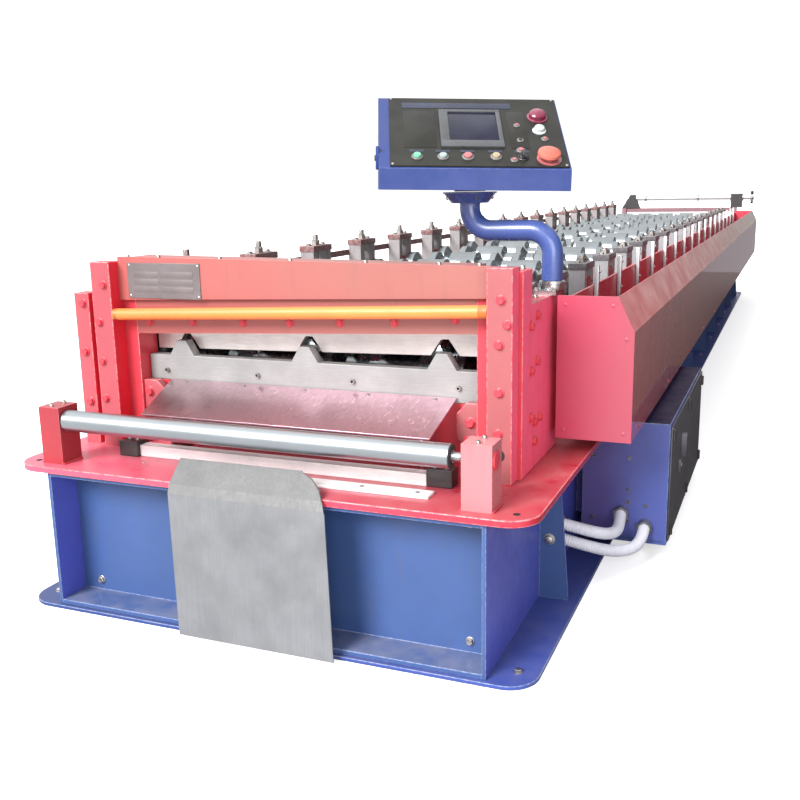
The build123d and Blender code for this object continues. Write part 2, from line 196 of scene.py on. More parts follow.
def paint(name, base, rough=0.38, dirt=(0.10, 0.075, 0.06), dirt_amount=0.5, dust=(0.55, 0.50, 0.46),
          dust_amount=0.18, worn=0.0, steel=(0.42, 0.41, 0.40), spec=0.5, coat=0.0, scuffed=0.28, painted_light_ramp=None, coat_rough=0.18):
    """Sprayed machine paint: slow tone changes, orange peel, dust on top, grime, scuffs, chips where worn, and an
    optional ramp along one axis that paints light and shade into the colour.
    """
    k = Mat(name)
    big = k.noise(1.3, 5, 0.6)
    mid = k.noise(11, 6, 0.62)
    fine = k.noise(160, 5, 0.6)
    col = k.mix(k.rng(big, 0.3, 0.7, 0, 1), mul(base, 0.86), mul(base, 1.12))
    col = k.mix(k.rng(mid, 0.35, 0.75, 0, 0.35), col, mul(base, 0.72))
    # painted light and shade: the colour ramps along one axis of the machine to stand for uneven light on it
    if painted_light_ramp:
        axis, a, b, colour = painted_light_ramp
        col = k.mix(k.rng(k.calc("ADD", k.part(k.co, axis), k.rng(big, 0.3, 0.7, -0.06, 0.06)), a, b, 0, 1), col, colour)
    # runs of grime down upright faces
    streak = k.noise(9, 5, 0.65, k.stretch(3.2, 3.2, 0.35))
    grime = k.calc("MULTIPLY", k.rng(streak, 0.56, 0.78, 0, dirt_amount), k.rng(mid, 0.3, 0.7, 0.4, 1))
    col = k.mix(grime, col, dirt)
    # dust that settles on faces that look up
    up = k.rng(k.part(k.geo.outputs["Normal"], "Z"), 0.5, 1.0, 0, 1)
    dusty = k.calc("MULTIPLY", up, k.rng(mid, 0.35, 0.8, 0.15 * dust_amount, 1.6 * dust_amount))
    col = k.mix(dusty, col, dust)
    # fine scuffs
    scuff = k.noise(30, 8, 0.75, k.stretch(1, 0.25, 2.4))
    scuffs = k.rng(scuff, 0.66, 0.74, 0, scuffed)
    col = k.mix(scuffs, col, mul(base, 1.5))
    chips = k.rng(k.noise(75, 6, 0.7), 0.50 - 0.12 * worn, 0.56 - 0.12 * worn, 0, worn)
    if worn:
        col = k.mix(chips, col, steel)
    r = k.calc("ADD", k.rng(mid, 0.3, 0.8, rough - 0.06, rough + 0.16), k.calc("MULTIPLY", dusty, 0.5))
    r = k.calc("ADD", r, k.calc("MULTIPLY", scuffs, 0.25))
    nrm = k.bump(k.noise(2.2, 3, 0.5), 0.10, 0.02)
    nrm = k.bump(k.noise(420, 3, 0.5), 0.10, 0.0004, nrm)
    nrm = k.bump(fine, 0.10, 0.0006, nrm)
    k.put(Base_Color=col, Roughness=r, Normal=nrm, Specular_IOR_Level=spec)
    if coat:
        k.put(Coat_Weight=coat, Coat_Roughness=coat_rough)
    return k.m


def metal(name, base, rough=0.3, brush=None, grain=260, stain=(0.20, 0.15, 0.10), stain_amount=0.25, metallic=1.0,
          bumpy=0.12, aniso=0.0, wavy=0.12, vary=1.0, painted_light_ramp=None):
    """Bare or plated steel: brushing along one axis, smears, stains, small dings, and an optional ramp along one axis
    that paints light and shade into the colour.
    """
    k = Mat(name)
    vec = k.stretch(*(brush or (1, 1, 1)))
    lines = k.noise(grain, 6, 0.7, vec)
    mid = k.noise(7, 6, 0.6)
    blot = k.noise(24, 7, 0.7)
    col = k.mix(k.rng(mid, 0.3, 0.7, 0, 1), mul(base, 1 - 0.20 * vary), mul(base, 1 + 0.12 * vary))
    # painted light and shade: the colour ramps along one axis of the machine to stand for uneven light on it
    if painted_light_ramp:
        axis, lo, hi, colour = painted_light_ramp
        col = k.mix(k.rng(k.part(k.co, axis), lo, hi, 0, 1), col, colour)
    col = k.mix(k.rng(lines, 0.3, 0.75, 0, 0.5 * vary), col, mul(base, 0.6))
    col = k.mix(k.rng(blot, 0.58, 0.8, 0, stain_amount), col, stain)
    r = k.calc("ADD", k.rng(lines, 0.25, 0.8, rough - 0.08 * vary, rough + 0.14 * vary), k.rng(blot, 0.5, 0.8, 0, 0.15 * vary))
    nrm = k.bump(lines, bumpy, 0.0006)
    nrm = k.bump(k.noise(3.0, 3, 0.5), wavy, 0.01, nrm)
    k.put(Base_Color=col, Roughness=r, Normal=nrm, Metallic=metallic)
    if aniso:
        k.put(Anisotropic=aniso)
    return k.m


RED = (0.58, 0.043, 0.064)
BLUE = (0.038, 0.078, 0.215)
M = {}
M["red"] = paint("red_paint_sprayed", RED, 0.36)
# painted light: the red for the shear posts' front and other faces, with a ramp across X standing for the light falling
# across the machine
M["front"] = paint("red_paint_front_painted_light", (0.375, 0.066, 0.085), 0.40, dust_amount=0.1, painted_light_ramp=("X", -0.75, 0.75, (0.290, 0.078, 0.085)))
# painted shade: a darker, deeper red for the left post's inner faces, seen in the gap between the posts
M["post_in"] = paint("red_paint_post_inner_painted_shade", (0.66, 0.014, 0.032), 0.42, dust_amount=0.1, scuffed=0.1)
# painted light: a lighter, pinker red for faces turned to +X on the drive side
M["post_side"] = paint("red_paint_post_side_painted_light", (0.84, 0.105, 0.200), 0.42, dust_amount=0.1)
# painted sheen: the beam's pinkish tone stands for light on its front, and it ramps across X as painted light and shade
M["beam"] = paint("red_paint_beam_painted_sheen", (0.38, 0.088, 0.083), 0.40, dust_amount=0.1, dirt_amount=0.3, painted_light_ramp=("X", -0.7, 0.3, (0.285, 0.100, 0.087)))
M["red_edge"] = paint("red_paint_edge", mul(RED, 1.25), 0.42, worn=0.35)
# painted shade: the bed plate red darkens and deepens towards the drive side (+X)
M["bed"] = paint("red_paint_bed_painted_shade", (0.60, 0.078, 0.138), 0.30, dust_amount=0.12, dirt_amount=0.45, painted_light_ramp=("X", -0.5, 0.8, (0.40, 0.020, 0.040)))
# painted light and shade: the roller brackets are dark red at -X and lighter at +X
M["bracket"] = paint("red_paint_bracket_painted_light", (0.29, 0.027, 0.037), 0.36, dust_amount=0.1, painted_light_ramp=("X", -0.5, 0.62, (0.44, 0.150, 0.165)))
M["guard"] = paint("red_paint_guard", (0.54, 0.046, 0.078), 0.34, dirt_amount=0.12, dust_amount=0.10, scuffed=0.05, spec=0.55)
# painted shade: a darker copy of the guard red for the outer side faces turned to +X
M["guard_side"] = paint("red_paint_guard_side_painted_shade", (0.45, 0.050, 0.055), 0.34, dirt_amount=0.12, dust_amount=0.10, scuffed=0.05, coat=1.0,
                        coat_rough=0.045)
# painted shade: a darker copy of the guard red for the front end plate, darkening further towards its outer edge
M["guard_end"] = paint("red_paint_guard_end_painted_shade", (0.375, 0.034, 0.074), 0.38, dirt_amount=0.12, scuffed=0.08, painted_light_ramp=("X", 0.80, 0.97, (0.300, 0.050, 0.078)))
# the sloped strip's greyish tone is partly dust and partly painted reflection: heavy pale dust, and a ramp along Y that
# greys it towards the far end
M["guard_slope"] = paint("red_paint_guard_slope_dust_and_reflection", (0.50, 0.085, 0.085), 0.36, dirt_amount=0.15, dust=(0.52, 0.40, 0.36), dust_amount=0.5,
                         scuffed=0.08, painted_light_ramp=("Y", -3.9, 4.0, (0.30, 0.235, 0.19)))
M["guard_edge"] = paint("red_paint_guard_edge", (0.44, 0.075, 0.080), 0.42, worn=0.2)
M["cap"] = paint("stand_cap_paint", (0.150, 0.050, 0.050), 0.48, dirt_amount=0.7, dust_amount=0.10, worn=0.22)
M["stand"] = metal("stand_steel_plate", (0.34, 0.325, 0.33), 0.50, (1, 1, 0.08), 160, stain=(0.17, 0.115, 0.110), stain_amount=0.6,
                   metallic=0.6)
M["stand_r"] = metal("stand_steel_drive_side", (0.40, 0.41, 0.43), 0.44, (1, 1, 0.08), 160, stain=(0.22, 0.19, 0.19), stain_amount=0.4, metallic=0.6)
M["cap_r"] = paint("stand_cap_dark", (0.085, 0.080, 0.092), 0.45, dirt_amount=0.4, dust_amount=0.10, worn=0.1)
M["block"] = paint("bearing_block_paint", (0.30, 0.022, 0.030), 0.45, dirt_amount=0.8)
M["blue"] = paint("blue_paint_sprayed", BLUE, 0.36)
# painted light: the cabinet blue lightens towards its outer edge, standing for the light on that part of its front
M["cabinet"] = paint("blue_paint_cabinet", (0.082, 0.062, 0.215), 0.36, dirt_amount=0.25, painted_light_ramp=("X", 0.84, 1.00, (0.072, 0.098, 0.34)))
# painted shade: a near-black blue for the cabinet's top faces, in shade under the guard
M["cabinet_top"] = paint("blue_paint_cabinet_top_painted_shade", (0.026, 0.017, 0.062), 0.5, dust_amount=0.0, dirt_amount=0.1, scuffed=0.1, spec=0.08)
# painted light: a lighter, bluer copy of the blue for the side beams' faces turned to +X, fitted to the light there
M["blue_side"] = paint("blue_paint_side_painted_light", (0.072, 0.090, 0.44), 0.36, dirt_amount=0.3)
# painted shade: a darker blue for the bottom plate in the shade under the bed, lightening towards +X as painted light
M["blue_plate"] = paint("blue_paint_bottom_plate_painted_shade", (0.018, 0.040, 0.160), 0.40, dirt_amount=0.4, dust_amount=0.05,
                        painted_light_ramp=("X", -0.6, 0.78, (0.032, 0.056, 0.25)))
M["blue_edge"] = paint("blue_paint_edge", mul(BLUE, 1.35), 0.42, worn=0.3)
M["console"] = paint("blue_paint_console", (0.015, 0.034, 0.155), 0.36, dirt_amount=0.12, dust_amount=0.05, spec=0.25)
M["console_edge"] = paint("blue_paint_console_edge", (0.034, 0.055, 0.19), 0.36, dirt_amount=0.1, worn=0.12)
M["pipe"] = paint("blue_paint_pipe", (0.044, 0.075, 0.245), 0.25, dirt_amount=0.15, dust_amount=0.05, spec=0.7)
M["yellow"] = paint("yellow_paint", (0.80, 0.215, 0.050), 0.38, dirt=(0.42, 0.13, 0.02), dirt_amount=0.5, dust_amount=0.03)
M["orange"] = paint("bar_end_paint", (0.42, 0.12, 0.02), 0.45, dirt_amount=0.5)
M["steel"] = metal("bright_steel_turned", (0.56, 0.565, 0.58), 0.24, (14, 1, 1), 60, stain_amount=0.12)
M["roller"] = metal("roller_steel_ground", (0.375, 0.41, 0.435), 0.30, (30, 1, 1), 40, stain=(0.30, 0.30, 0.34), stain_amount=0.12, bumpy=0.015,
                    wavy=0.01, vary=0.35)
M["roll"] = metal("roll_steel_chromed", (0.295, 0.320, 0.335), 0.22, (22, 1, 1), 50, stain_amount=0.08, bumpy=0.06)
M["post"] = metal("post_steel_ground", (0.60, 0.60, 0.62), 0.33, (1, 1, 0.08), 200, stain_amount=0.2)
M["blade_up"] = metal("upper_blade_steel", (0.74, 0.685, 0.66), 0.36, (0.06, 1, 1), 220, stain=(0.30, 0.25, 0.2), stain_amount=0.3, metallic=0.85)
M["blade"] = metal("blade_steel_ground", (0.305, 0.31, 0.312), 0.48, (0.06, 1, 1), 240, stain=(0.30, 0.27, 0.25), stain_amount=0.35, metallic=0.35)
# painted light: a lighter copy of the galvanised sheet for the apron's upright facets
M["galv_front"] = metal("sheet_galvanised_upright_painted_light", (0.29, 0.298, 0.315), 0.42, (1, 1, 0.05), 130, stain=(0.22, 0.22, 0.235), stain_amount=0.5,
                        metallic=0.75, bumpy=0.06)
# painted shade: a darker, rougher copy of the galvanised sheet for the apron's up-facing facets and bends
M["galv_top"] = metal("sheet_galvanised_upfacing_painted_shade", (0.152, 0.153, 0.156), 0.60, (1, 1, 0.05), 130, stain=(0.21, 0.21, 0.22), stain_amount=0.4,
                      metallic=0.25, bumpy=0.05)
M["galv"] = metal("sheet_galvanised", (0.165, 0.167, 0.175), 0.46, (1, 1, 0.05), 130, stain=(0.19, 0.19, 0.205), stain_amount=0.5, metallic=0.75, bumpy=0.06)
M["sheet_plain"] = metal("sheet_zinc_plain", (0.46, 0.465, 0.48), 0.40, (0.08, 1, 1), 130, stain=(0.30, 0.29, 0.29), stain_amount=0.4, metallic=0.6, bumpy=0.05)
# painted reflection: the pink tint of the steel sheet stands for the red paint reflected in it, and it lightens towards
# +X as painted light
M["table"] = metal("sheet_of_the_table_painted_reflection", (0.46, 0.33, 0.365), 0.30, (1, 0.06, 1), 150, stain=(0.30, 0.21, 0.23), stain_amount=0.4,
                   metallic=0.92, bumpy=0.05, painted_light_ramp=("X", -0.40, 0.05, (0.70, 0.44, 0.52)))
# the near-white, almost matte tone of the support bar is partly its bright planed steel and partly painted glare
M["pale"] = metal("strip_pale_painted_glare", (0.90, 0.885, 0.885), 0.36, (0.06, 1, 1), 200, stain=(0.5, 0.46, 0.45), stain_amount=0.1,
                  metallic=0.1)
M["bolt"] = metal("bolt_zinc", (0.46, 0.44, 0.42), 0.38, None, 300, stain_amount=0.4)
M["dark"] = metal("dark_steel_oiled", (0.085, 0.082, 0.085), 0.4, None, 200, stain_amount=0.3, metallic=0.7)
M["door"] = metal("cabinet_door_dark", (0.145, 0.146, 0.172), 0.42, None, 200, stain_amount=0.3, metallic=0.7)
M["plate"] = metal("nameplate_aluminium", (0.215, 0.185, 0.19), 0.40, (0.05, 1, 1), 320, stain=(0.36, 0.26, 0.25), stain_amount=0.35, metallic=0.6)
M["rod"] = metal("adjusting_shaft_steel", (0.60, 0.60, 0.62), 0.42, (14, 1, 1), 60, stain_amount=0.15, metallic=0.4)
M["black_cast"] = metal("bracket_cast_dark", (0.040, 0.037, 0.040), 0.55, None, 120, stain_amount=0.3, metallic=0.2)
M["feed_red"] = paint("red_paint_feed_end", (0.24, 0.125, 0.148), 0.42, dust_amount=0.1)
M["white"] = paint("white_bar_paint", (0.72, 0.68, 0.66), 0.45, dirt_amount=0.5)


def plain(name, base, rough, var=0.15, bump=0.1, scale=60, spec=0.5, emit=None, coat=0.0, metallic=0.0):
    """Moulded plastic, rubber or glass with a fine skin and slight soiling."""
    k = Mat(name)
    a = k.noise(scale, 5, 0.6)
    b = k.noise(9, 4, 0.6)
    col = k.mix(k.rng(b, 0.3, 0.7, 0, 1), mul(base, 1 - var), mul(base, 1 + var))
    col = k.mix(k.rng(a, 0.6, 0.8, 0, 0.3), col, mul(base, 0.6))
    k.put(Base_Color=col, Roughness=k.rng(a, 0.3, 0.7, max(0.03, rough - 0.06), rough + 0.08),
          Normal=k.bump(a, bump, 0.0005), Specular_IOR_Level=spec, Metallic=metallic)
    if emit:
        k.put(Emission_Color=emit, Emission_Strength=0.25)
    if coat:
        k.put(Coat_Weight=coat, Coat_Roughness=0.08)
    return k.m


M["panel"] = plain("panel_black_anodised", (0.018, 0.018, 0.016), 0.42, 0.3, 0.15, 400, spec=0.17)
M["bezel"] = plain("screen_bezel", (0.052, 0.055, 0.062), 0.4)
M["screen"] = plain("screen_glass", (0.012, 0.013, 0.028), 0.16, 0.3, 0.01, 20, spec=0.18)
M["strip"] = plain("blank_label_strip", (0.034, 0.040, 0.064), 0.50, spec=0.25)
M["btn_green"] = plain("button_green", (0.10, 0.36, 0.22), 0.25, coat=0.4)
M["btn_grey"] = plain("button_grey", (0.24, 0.29, 0.29), 0.30, coat=0.3)
M["btn_red"] = plain("button_red", (0.42, 0.100, 0.068), 0.36, coat=0.2)
M["btn_dull"] = plain("button_dull_red", (0.34, 0.10, 0.11), 0.3, coat=0.3)
M["btn_yellow"] = plain("button_cream", (0.30, 0.25, 0.150), 0.32, coat=0.25)
M["btn_white"] = plain("button_white", (0.44, 0.50, 0.49), 0.28, coat=0.35)
M["btn_wine"] = plain("lamp_wine", (0.150, 0.018, 0.044), 0.25, coat=0.4)
M["ring"] = metal("button_ring_dull", (0.20, 0.19, 0.185), 0.40, None, 300, stain_amount=0.3, metallic=0.5)
M["black"] = plain("black_plastic", (0.018, 0.018, 0.02), 0.4)
M["rubber"] = plain("black_rubber", (0.022, 0.022, 0.022), 0.7, bump=0.4, scale=150)
M["seal"] = plain("conduit_grey", (0.67, 0.69, 0.78), 0.42, 0.12, 0.2, 90)
# painted shade: a near-black stand-in for the shadow inside holes, slots, socket recesses and louvre gaps
M["hole"] = plain("painted_shade_in_hollows", (0.012, 0.009, 0.009), 0.8)


# ---- mesh writer -------------------------------------------------------------
def frame_of(axis):
    a = Vector(axis).normalized()
    u = a.orthogonal().normalized() if abs(a.z) > 0.9 or abs(a.x) > 0.9 else Vector((0, 0, 1)).cross(a).normalized()
    if abs(a.x) > 0.9:
        u = Vector((0, 1, 0)) - a * a.y
        u.normalize()
    if abs(a.z) > 0.9:
        u = Vector((1, 0, 0)) - a * a.x
        u.normalize()
    return a, u, a.cross(u)


class Kit:
    """Collects small parts into one mesh that rides on one body. Millimetres in, metres out."""

    def __init__(self, name, body, *mats, slot=None, world=None):
        self.name, self.body, self.mats, self.slot = name, body, list(mats), slot
        self.bm = bmesh.new()
        self.world = world

    def at(self, p):
        if self.world is not None:
            return self.world @ (Vector(p) / 1000)
        return V(*p)

    def way(self, a):
        return (self.world.to_3x3() @ Vector(a)).normalized() if self.world is not None else Vector(a).normalized()

    def lathe(self, p, axis, profile, segs=20, mat=0, turn=0.0):
        """profile: (height along axis, radius) points; a radius of 0 closes to a point."""
        o, (a, u, v) = self.at(p), frame_of(self.way(axis))
        rings = []
        for h, r in profile:
            c = o + a * (h / 1000)
            if r <= 0:
                rings.append([self.bm.verts.new(c)])
            else:
                rings.append([self.bm.verts.new(c + (u * math.cos(t) + v * math.sin(t)) * (r / 1000))
                              for t in (2 * math.pi * i / segs + turn for i in range(segs))])
        for A, B in zip(rings, rings[1:]):
            for i in range(segs):
                j = (i + 1) % segs
                if len(A) == 1 and len(B) == 1:
                    continue
                if len(A) == 1:
                    f = (A[0], B[i], B[j])
                elif len(B) == 1:
                    f = (A[i], B[0], A[j])
                else:
                    f = (A[i], B[i], B[j], A[j])
                self.bm.faces.new(f).material_index = mat
        for r in (rings[0], rings[-1]):
            if len(r) > 2:
                self.bm.faces.new(r).material_index = mat

    def hexa(self, p, axis, af, h, mat=0, turn=0.3):
        r = af / math.sqrt(3)
        self.lathe(p, axis, [(0, r), (h * 0.78, r), (h, r * 0.84), (h * 0.94, r * 0.5), (h * 0.94, 0)], 6, mat, turn)

    def bolt(self, p, axis, size=12, mat=0, washer=True, turn=None):
        """Hex head on a washer; size is the thread."""
        turn = rnd.uniform(0, 1) if turn is None else turn
        base = 0
        if washer:
            self.lathe(p, axis, [(0, size * 1.12), (size * 0.14, size * 1.12), (size * 0.19, size * 1.05)], 18, mat)
            base = size * 0.17
        q = Vector(p) + Vector(axis).normalized() * base
        self.hexa(q, axis, size * 1.6, size * 0.66, mat, turn)

    def cap_screw(self, p, axis, size=8, mat=0, hollow=1):
        """Socket head screw with its hexagon recess; the recess floor takes the hollow material, painted shade."""
        r = size * 0.8
        self.lathe(p, axis, [(0, r), (size * 0.85, r), (size, r * 0.88), (size, size * 0.46)], 16, mat)
        self.lathe(Vector(p) + Vector(axis).normalized() * size * 0.62, axis, [(0, size * 0.47), (size * 0.01, 0)], 6, hollow)
        self.lathe(p, axis, [(size * 0.6, size * 0.45), (size, size * 0.45)], 6, mat)

    def box(self, x0, x1, y0, y1, z0, z1, r=1.5, mat=0, segs=2):
        vs = [self.bm.verts.new(self.at((x, y, z))) for x in (x0, x1) for y in (y0, y1) for z in (z0, z1)]
        fs = []
        for q in ((0, 1, 3, 2), (4, 6, 7, 5), (0, 4, 5, 1), (2, 3, 7, 6), (0, 2, 6, 4), (1, 5, 7, 3)):
            f = self.bm.faces.new([vs[i] for i in q])
            f.material_index = mat
            fs.append(f)
        if r:
            es = list({e for f in fs for e in f.edges})
            bmesh.ops.bevel(self.bm, geom=es, offset=r / 1000, segments=segs, profile=0.6, affect="EDGES", material=-1)

    def slab(self, pts, depth, r=1.0, mat=0):
        """Closed outline pts, pushed along depth, edges broken by r."""
        bot = [self.bm.verts.new(self.at(p)) for p in pts]
        top = [self.bm.verts.new(self.at(Vector(p) + Vector(depth))) for p in pts]
        fs = [self.bm.faces.new(bot), self.bm.faces.new(list(reversed(top)))]
        n = len(pts)
        for i in range(n):
            fs.append(self.bm.faces.new((bot[i], top[i], top[(i + 1) % n], bot[(i + 1) % n])))
        for f in fs:
            f.material_index = mat
        if r:
            es = list({e for f in fs for e in f.edges})
            bmesh.ops.bevel(self.bm, geom=es, offset=r / 1000, segments=2, profile=0.6, affect="EDGES", material=-1)

    def tube(self, pts, r, segs=12, mat=0):
        """Round bar or hose through the points."""
        P = [self.at(p) for p in pts]
        rings = []
        u = None
        for i, p in enumerate(P):
            t = (P[min(i + 1, len(P) - 1)] - P[max(i - 1, 0)]).normalized()
            u = (u - t * u.dot(t)).normalized() if u is not None else t.orthogonal().normalized()
            w = t.cross(u)
            rings.append([self.bm.verts.new(p + (u * math.cos(a) + w * math.sin(a)) * (r / 1000))
                          for a in (2 * math.pi * j / segs for j in range(segs))])
        for A, B in zip(rings, rings[1:]):
            for j in range(segs):
                k = (j + 1) % segs
                self.bm.faces.new((A[j], B[j], B[k], A[k])).material_index = mat
        for q in (rings[0], rings[-1]):
            self.bm.faces.new(q).material_index = mat

    def done(self, angle=38):
        bmesh.ops.recalc_face_normals(self.bm, faces=self.bm.faces)
        me = bpy.data.meshes.new(self.name)
        self.bm.to_mesh(me)
        self.bm.free()
        return finish_mesh(self.name, me, self.body, self.mats, angle)


def finish_mesh(name, me, body, mats, angle=38):
    for mt in mats:
        me.materials.append(mt if not isinstance(mt, str) else M[mt])
    for p in me.polygons:
        p.use_smooth = True
    me.set_sharp_from_angle(angle=math.radians(angle))
    o = bpy.data.objects.new(name, me)
    bpy.context.scene.collection.objects.link(o)
    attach(o, body)
    return o


def skin(node, mats, width=2.0, segs=2, limit=28, pick=None, flat=0.01):
    """A copy of a CAD node's mesh with its edges broken, in place of the node. pick(centre, normal) may choose a
    material, and faces over flat square metres are shaded flat, so that only the broken edges look round."""
    src = nodes[node].data
    bm = bmesh.new()
    bm.from_mesh(src)
    bmesh.ops.remove_doubles(bm, verts=bm.verts, dist=2e-5)
    bmesh.ops.dissolve_limit(bm, angle_limit=math.radians(0.4), verts=bm.verts, edges=bm.edges)
    bmesh.ops.recalc_face_normals(bm, faces=bm.faces)
    es = [e for e in bm.edges if len(e.link_faces) == 2 and e.calc_face_angle(0) > math.radians(limit)]
    bmesh.ops.bevel(bm, geom=es, offset=width / 1000, segments=segs, profile=0.65, affect="EDGES",
                    material=1 if len(mats) > 1 else -1, clamp_overlap=True)
    for f in bm.faces:
        if f.material_index > len(mats) - 1:
            f.material_index = 0
        if pick is not None and f.material_index == 0:
            f.material_index = pick(f.calc_center_median(), f.normal)
    me = bpy.data.meshes.new(node + "_skin")
    bm.to_mesh(me)
    bm.free()
    o = finish_mesh(node + "_skin", me, body_of[node], mats, 40)
    for p in me.polygons:
        if p.area > flat:
            p.use_smooth = False
    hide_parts(node)
    return o


def dress(node, mat):
    """A CAD node that stays, in a better material."""
    me = nodes[node]
    for s in me.material_slots:
        s.material = M[mat]


# ---- conduits --------------------------------------------------------------
def conduit(name, pts):
    """Ribbed flexible conduit: rings follow the smooth line of the route."""
    cu = bpy.data.curves.new(name + "_line", "CURVE")
    cu.dimensions = "3D"
    sp = cu.splines.new("NURBS")
    sp.points.add(len(pts) - 1)
    for q, p in zip(sp.points, pts):
        q.co = (*V(*p), 1)
    sp.order_u = 3
    sp.use_endpoint_u = True
    sp.resolution_u = 24
    tmp = bpy.data.objects.new(name + "_line", cu)
    bpy.context.scene.collection.objects.link(tmp)
    bpy.context.view_layer.update()
    me = bpy.data.meshes.new_from_object(tmp.evaluated_get(bpy.context.evaluated_depsgraph_get()))
    line = [v.co.copy() for v in me.vertices]
    bpy.data.objects.remove(tmp)
    bpy.data.meshes.remove(me)
    # even steps along the line
    cum = [0.0]
    for a, b in zip(line, line[1:]):
        cum.append(cum[-1] + (b - a).length)
    total = cum[-1]

    def on(s):
        s = min(max(s, 0), total)
        for i in range(1, len(cum)):
            if s <= cum[i] or i == len(cum) - 1:
                t = (s - cum[i - 1]) / max(1e-9, cum[i] - cum[i - 1])
                return line[i - 1].lerp(line[i], t)
        return line[-1]

    rib = 0.0085
    steps = [(0.0, 0.0192)]
    n = int(total / rib)
    for i in range(n):
        s = total * i / n
        w = total / n
        steps += [(s + w * 0.12, 0.0180), (s + w * 0.36, 0.0180), (s + w * 0.54, 0.0200), (s + w * 0.90, 0.0200)]
    steps.append((total, 0.0192))
    bm = bmesh.new()
    rings, u = [], None
    for s, r in steps:
        p = on(s)
        t = (on(s + 0.003) - on(s - 0.003)).normalized()
        u = (u - t * u.dot(t)).normalized() if u is not None else t.orthogonal().normalized()
        w = t.cross(u)
        rings.append([bm.verts.new(p + (u * math.cos(a) + w * math.sin(a)) * r)
                      for a in (2 * math.pi * j / 28 for j in range(28))])
    for A, B in zip(rings, rings[1:]):
        for j in range(28):
            q = (j + 1) % 28
            bm.faces.new((A[j], B[j], B[q], A[q]))
    bm.faces.new(rings[0])
    bm.faces.new(rings[-1])
    bmesh.ops.recalc_face_normals(bm, faces=bm.faces)
    me = bpy.data.meshes.new(name + "_hose")
    bm.to_mesh(me)
    bm.free()
    o = finish_mesh(name + "_hose", me, "machine", ["seal"], 60)
    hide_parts(name)
    return o


conduit("conduit_upper", [(760, 738, 214), (826, 756, 196), (886, 806, 168), (912, 884, 150), (911, 960, 153),
                          (903, 1028, 164)])
conduit("conduit_lower", [(760, 742, 160), (834, 752, 142), (912, 802, 112), (966, 882, 96), (987, 964, 103),
                          (986, 1028, 122)])

# ---- CAD nodes in their materials ---------------------------------------------
for n, mt in {
    "adjusting_screws": "bolt", "arm_base": "steel", "outfeed_roller": "roller", "lower_rolls": "roll",
    "feed_white_bar": "white", "safety_bar": "yellow", "feed_adjusting_shaft": "rod",
    "shear_cylinders": "dark", "feed_shaft_brackets": "black_cast", "conduit_fittings": "bolt",
}.items():
    dress(n, mt)
for i in range(18):
    dress(f"upper_shaft_{i + 1:02d}", "roll")

skin("bed_plate", ["bed", "red_edge"], 3)
skin("base_bottom_plate", ["blue_plate", "blue_edge"], 2)
# faces turned to +X take the painted-light blue_side
skin("base_side_beams", ["blue", "blue_edge", "blue_side"], 1.5, pick=lambda c, n: 2 if n.x > 0.3 else 0)
skin("base_cross_members", ["blue", "blue_edge"], 2)
skin("shear_left_plate", ["red", "red_edge"], 2.5)
# the right plate's faces turned to +X take the painted-light red post_side
skin("shear_right_plate", ["red", "red_edge", "post_side"], 2.5, pick=lambda c, n: 2 if n.x > 0.9 else 0)
skin("shear_top_beam", ["beam", "red_edge"], 2.5)
# +X faces take painted light on the right post and painted shade on the left post, in the gap; all other faces take the
# painted-light front red
skin("shear_posts", ["front", "red_edge", "post_side", "post_in"], 3, pick=lambda c, n: 0 if n.x < 0.9 else 2 if c.x > 0 else 3)
skin("lower_blade_beam", ["red", "red_edge"], 2)
skin("roller_brackets", ["bracket", "red_edge"], 3)
skin("knife_carrier", ["red", "red_edge"], 2)
# the slope, the outer side and the front end plate take their own copies of the guard red: painted reflection and
# painted shade
skin("chain_guard", ["guard", "guard_edge", "guard_slope", "guard_side", "guard_end"], 3.5, 3,
     pick=lambda c, n: 2 if n.z > 0.3 and n.x > 0.3 else 3 if n.x > 0.9 and c.x > 0.98 else 4 if n.y < -0.9 and c.y < -4.2 else 0)
skin("feed_end_frame", ["feed_red", "feed_red"], 2)
skin("bearing_blocks", ["block"], 2)
skin("stand_frames", ["stand", "stand", "cap", "stand_r", "cap_r"], 2,
     pick=lambda c, n: (2 if c.z > 1.0335 else 0) if c.x < 0 else 4 if c.z > 0.9715 else 3)
skin("stand_tie", ["cap"], 1.2)
skin("guard_posts", ["post"], 2)
# the cabinet's top faces take the painted-shade dark blue
skin("electrical_cabinet", ["cabinet", "blue_edge", "cabinet_top"], 3, pick=lambda c, n: 2 if n.z > 0.9 else 0)
skin("cabinet_door", ["door"], 2)
skin("control_box", ["console", "console_edge"], 4, 3)
skin("control_panel", ["panel"], 1.2)
skin("control_arm", ["pipe"], 1.5, 2, 50, flat=1)
skin("upper_blade", ["blade_up"], 1.2)
skin("lower_blade", ["blade"], 1.5)
# the support bar takes the near-white tone that is partly painted glare
skin("lower_support_bar", ["pale"], 2)
skin("support_bar_blocks", ["dark"], 3)
skin("outfeed_table", ["table"], 0.8)
# up-facing facets take the darker galv_top copy and the rest the lighter galv_front copy: painted shade and light
skin("apron_sheet", ["galv_front", "galv_top", "galv_top"], 5, 4, 12, flat=0.006, pick=lambda c, n: 2 if n.z > 0.2 else 0)
skin("feed_table", ["sheet_plain"], 1.5)
skin("nameplate", ["plate"], 0.8)

# ---- shear frame details --------------------------------------------------------
k = Kit("shear_bolts", "machine", "bolt", "hole", "red")
for x, y, z in ((-765, 300, 953), (-771, 300, 790), (-768, 300, 620)):
    k.bolt((x, y, z), (0, -1, 0), 14, 2)
for x, z in ((-663, 1017), (-690, 894), (-690, 764), (-690, 638), (-660, 545)):
    k.bolt((x, 285, z), (0, -1, 0), 13, 2)
for x, z in ((679, 1004), (698, 936), (674, 879), (675, 744), (672, 625)):
    k.bolt((x, 285, z), (0, -1, 0), 13, 2)
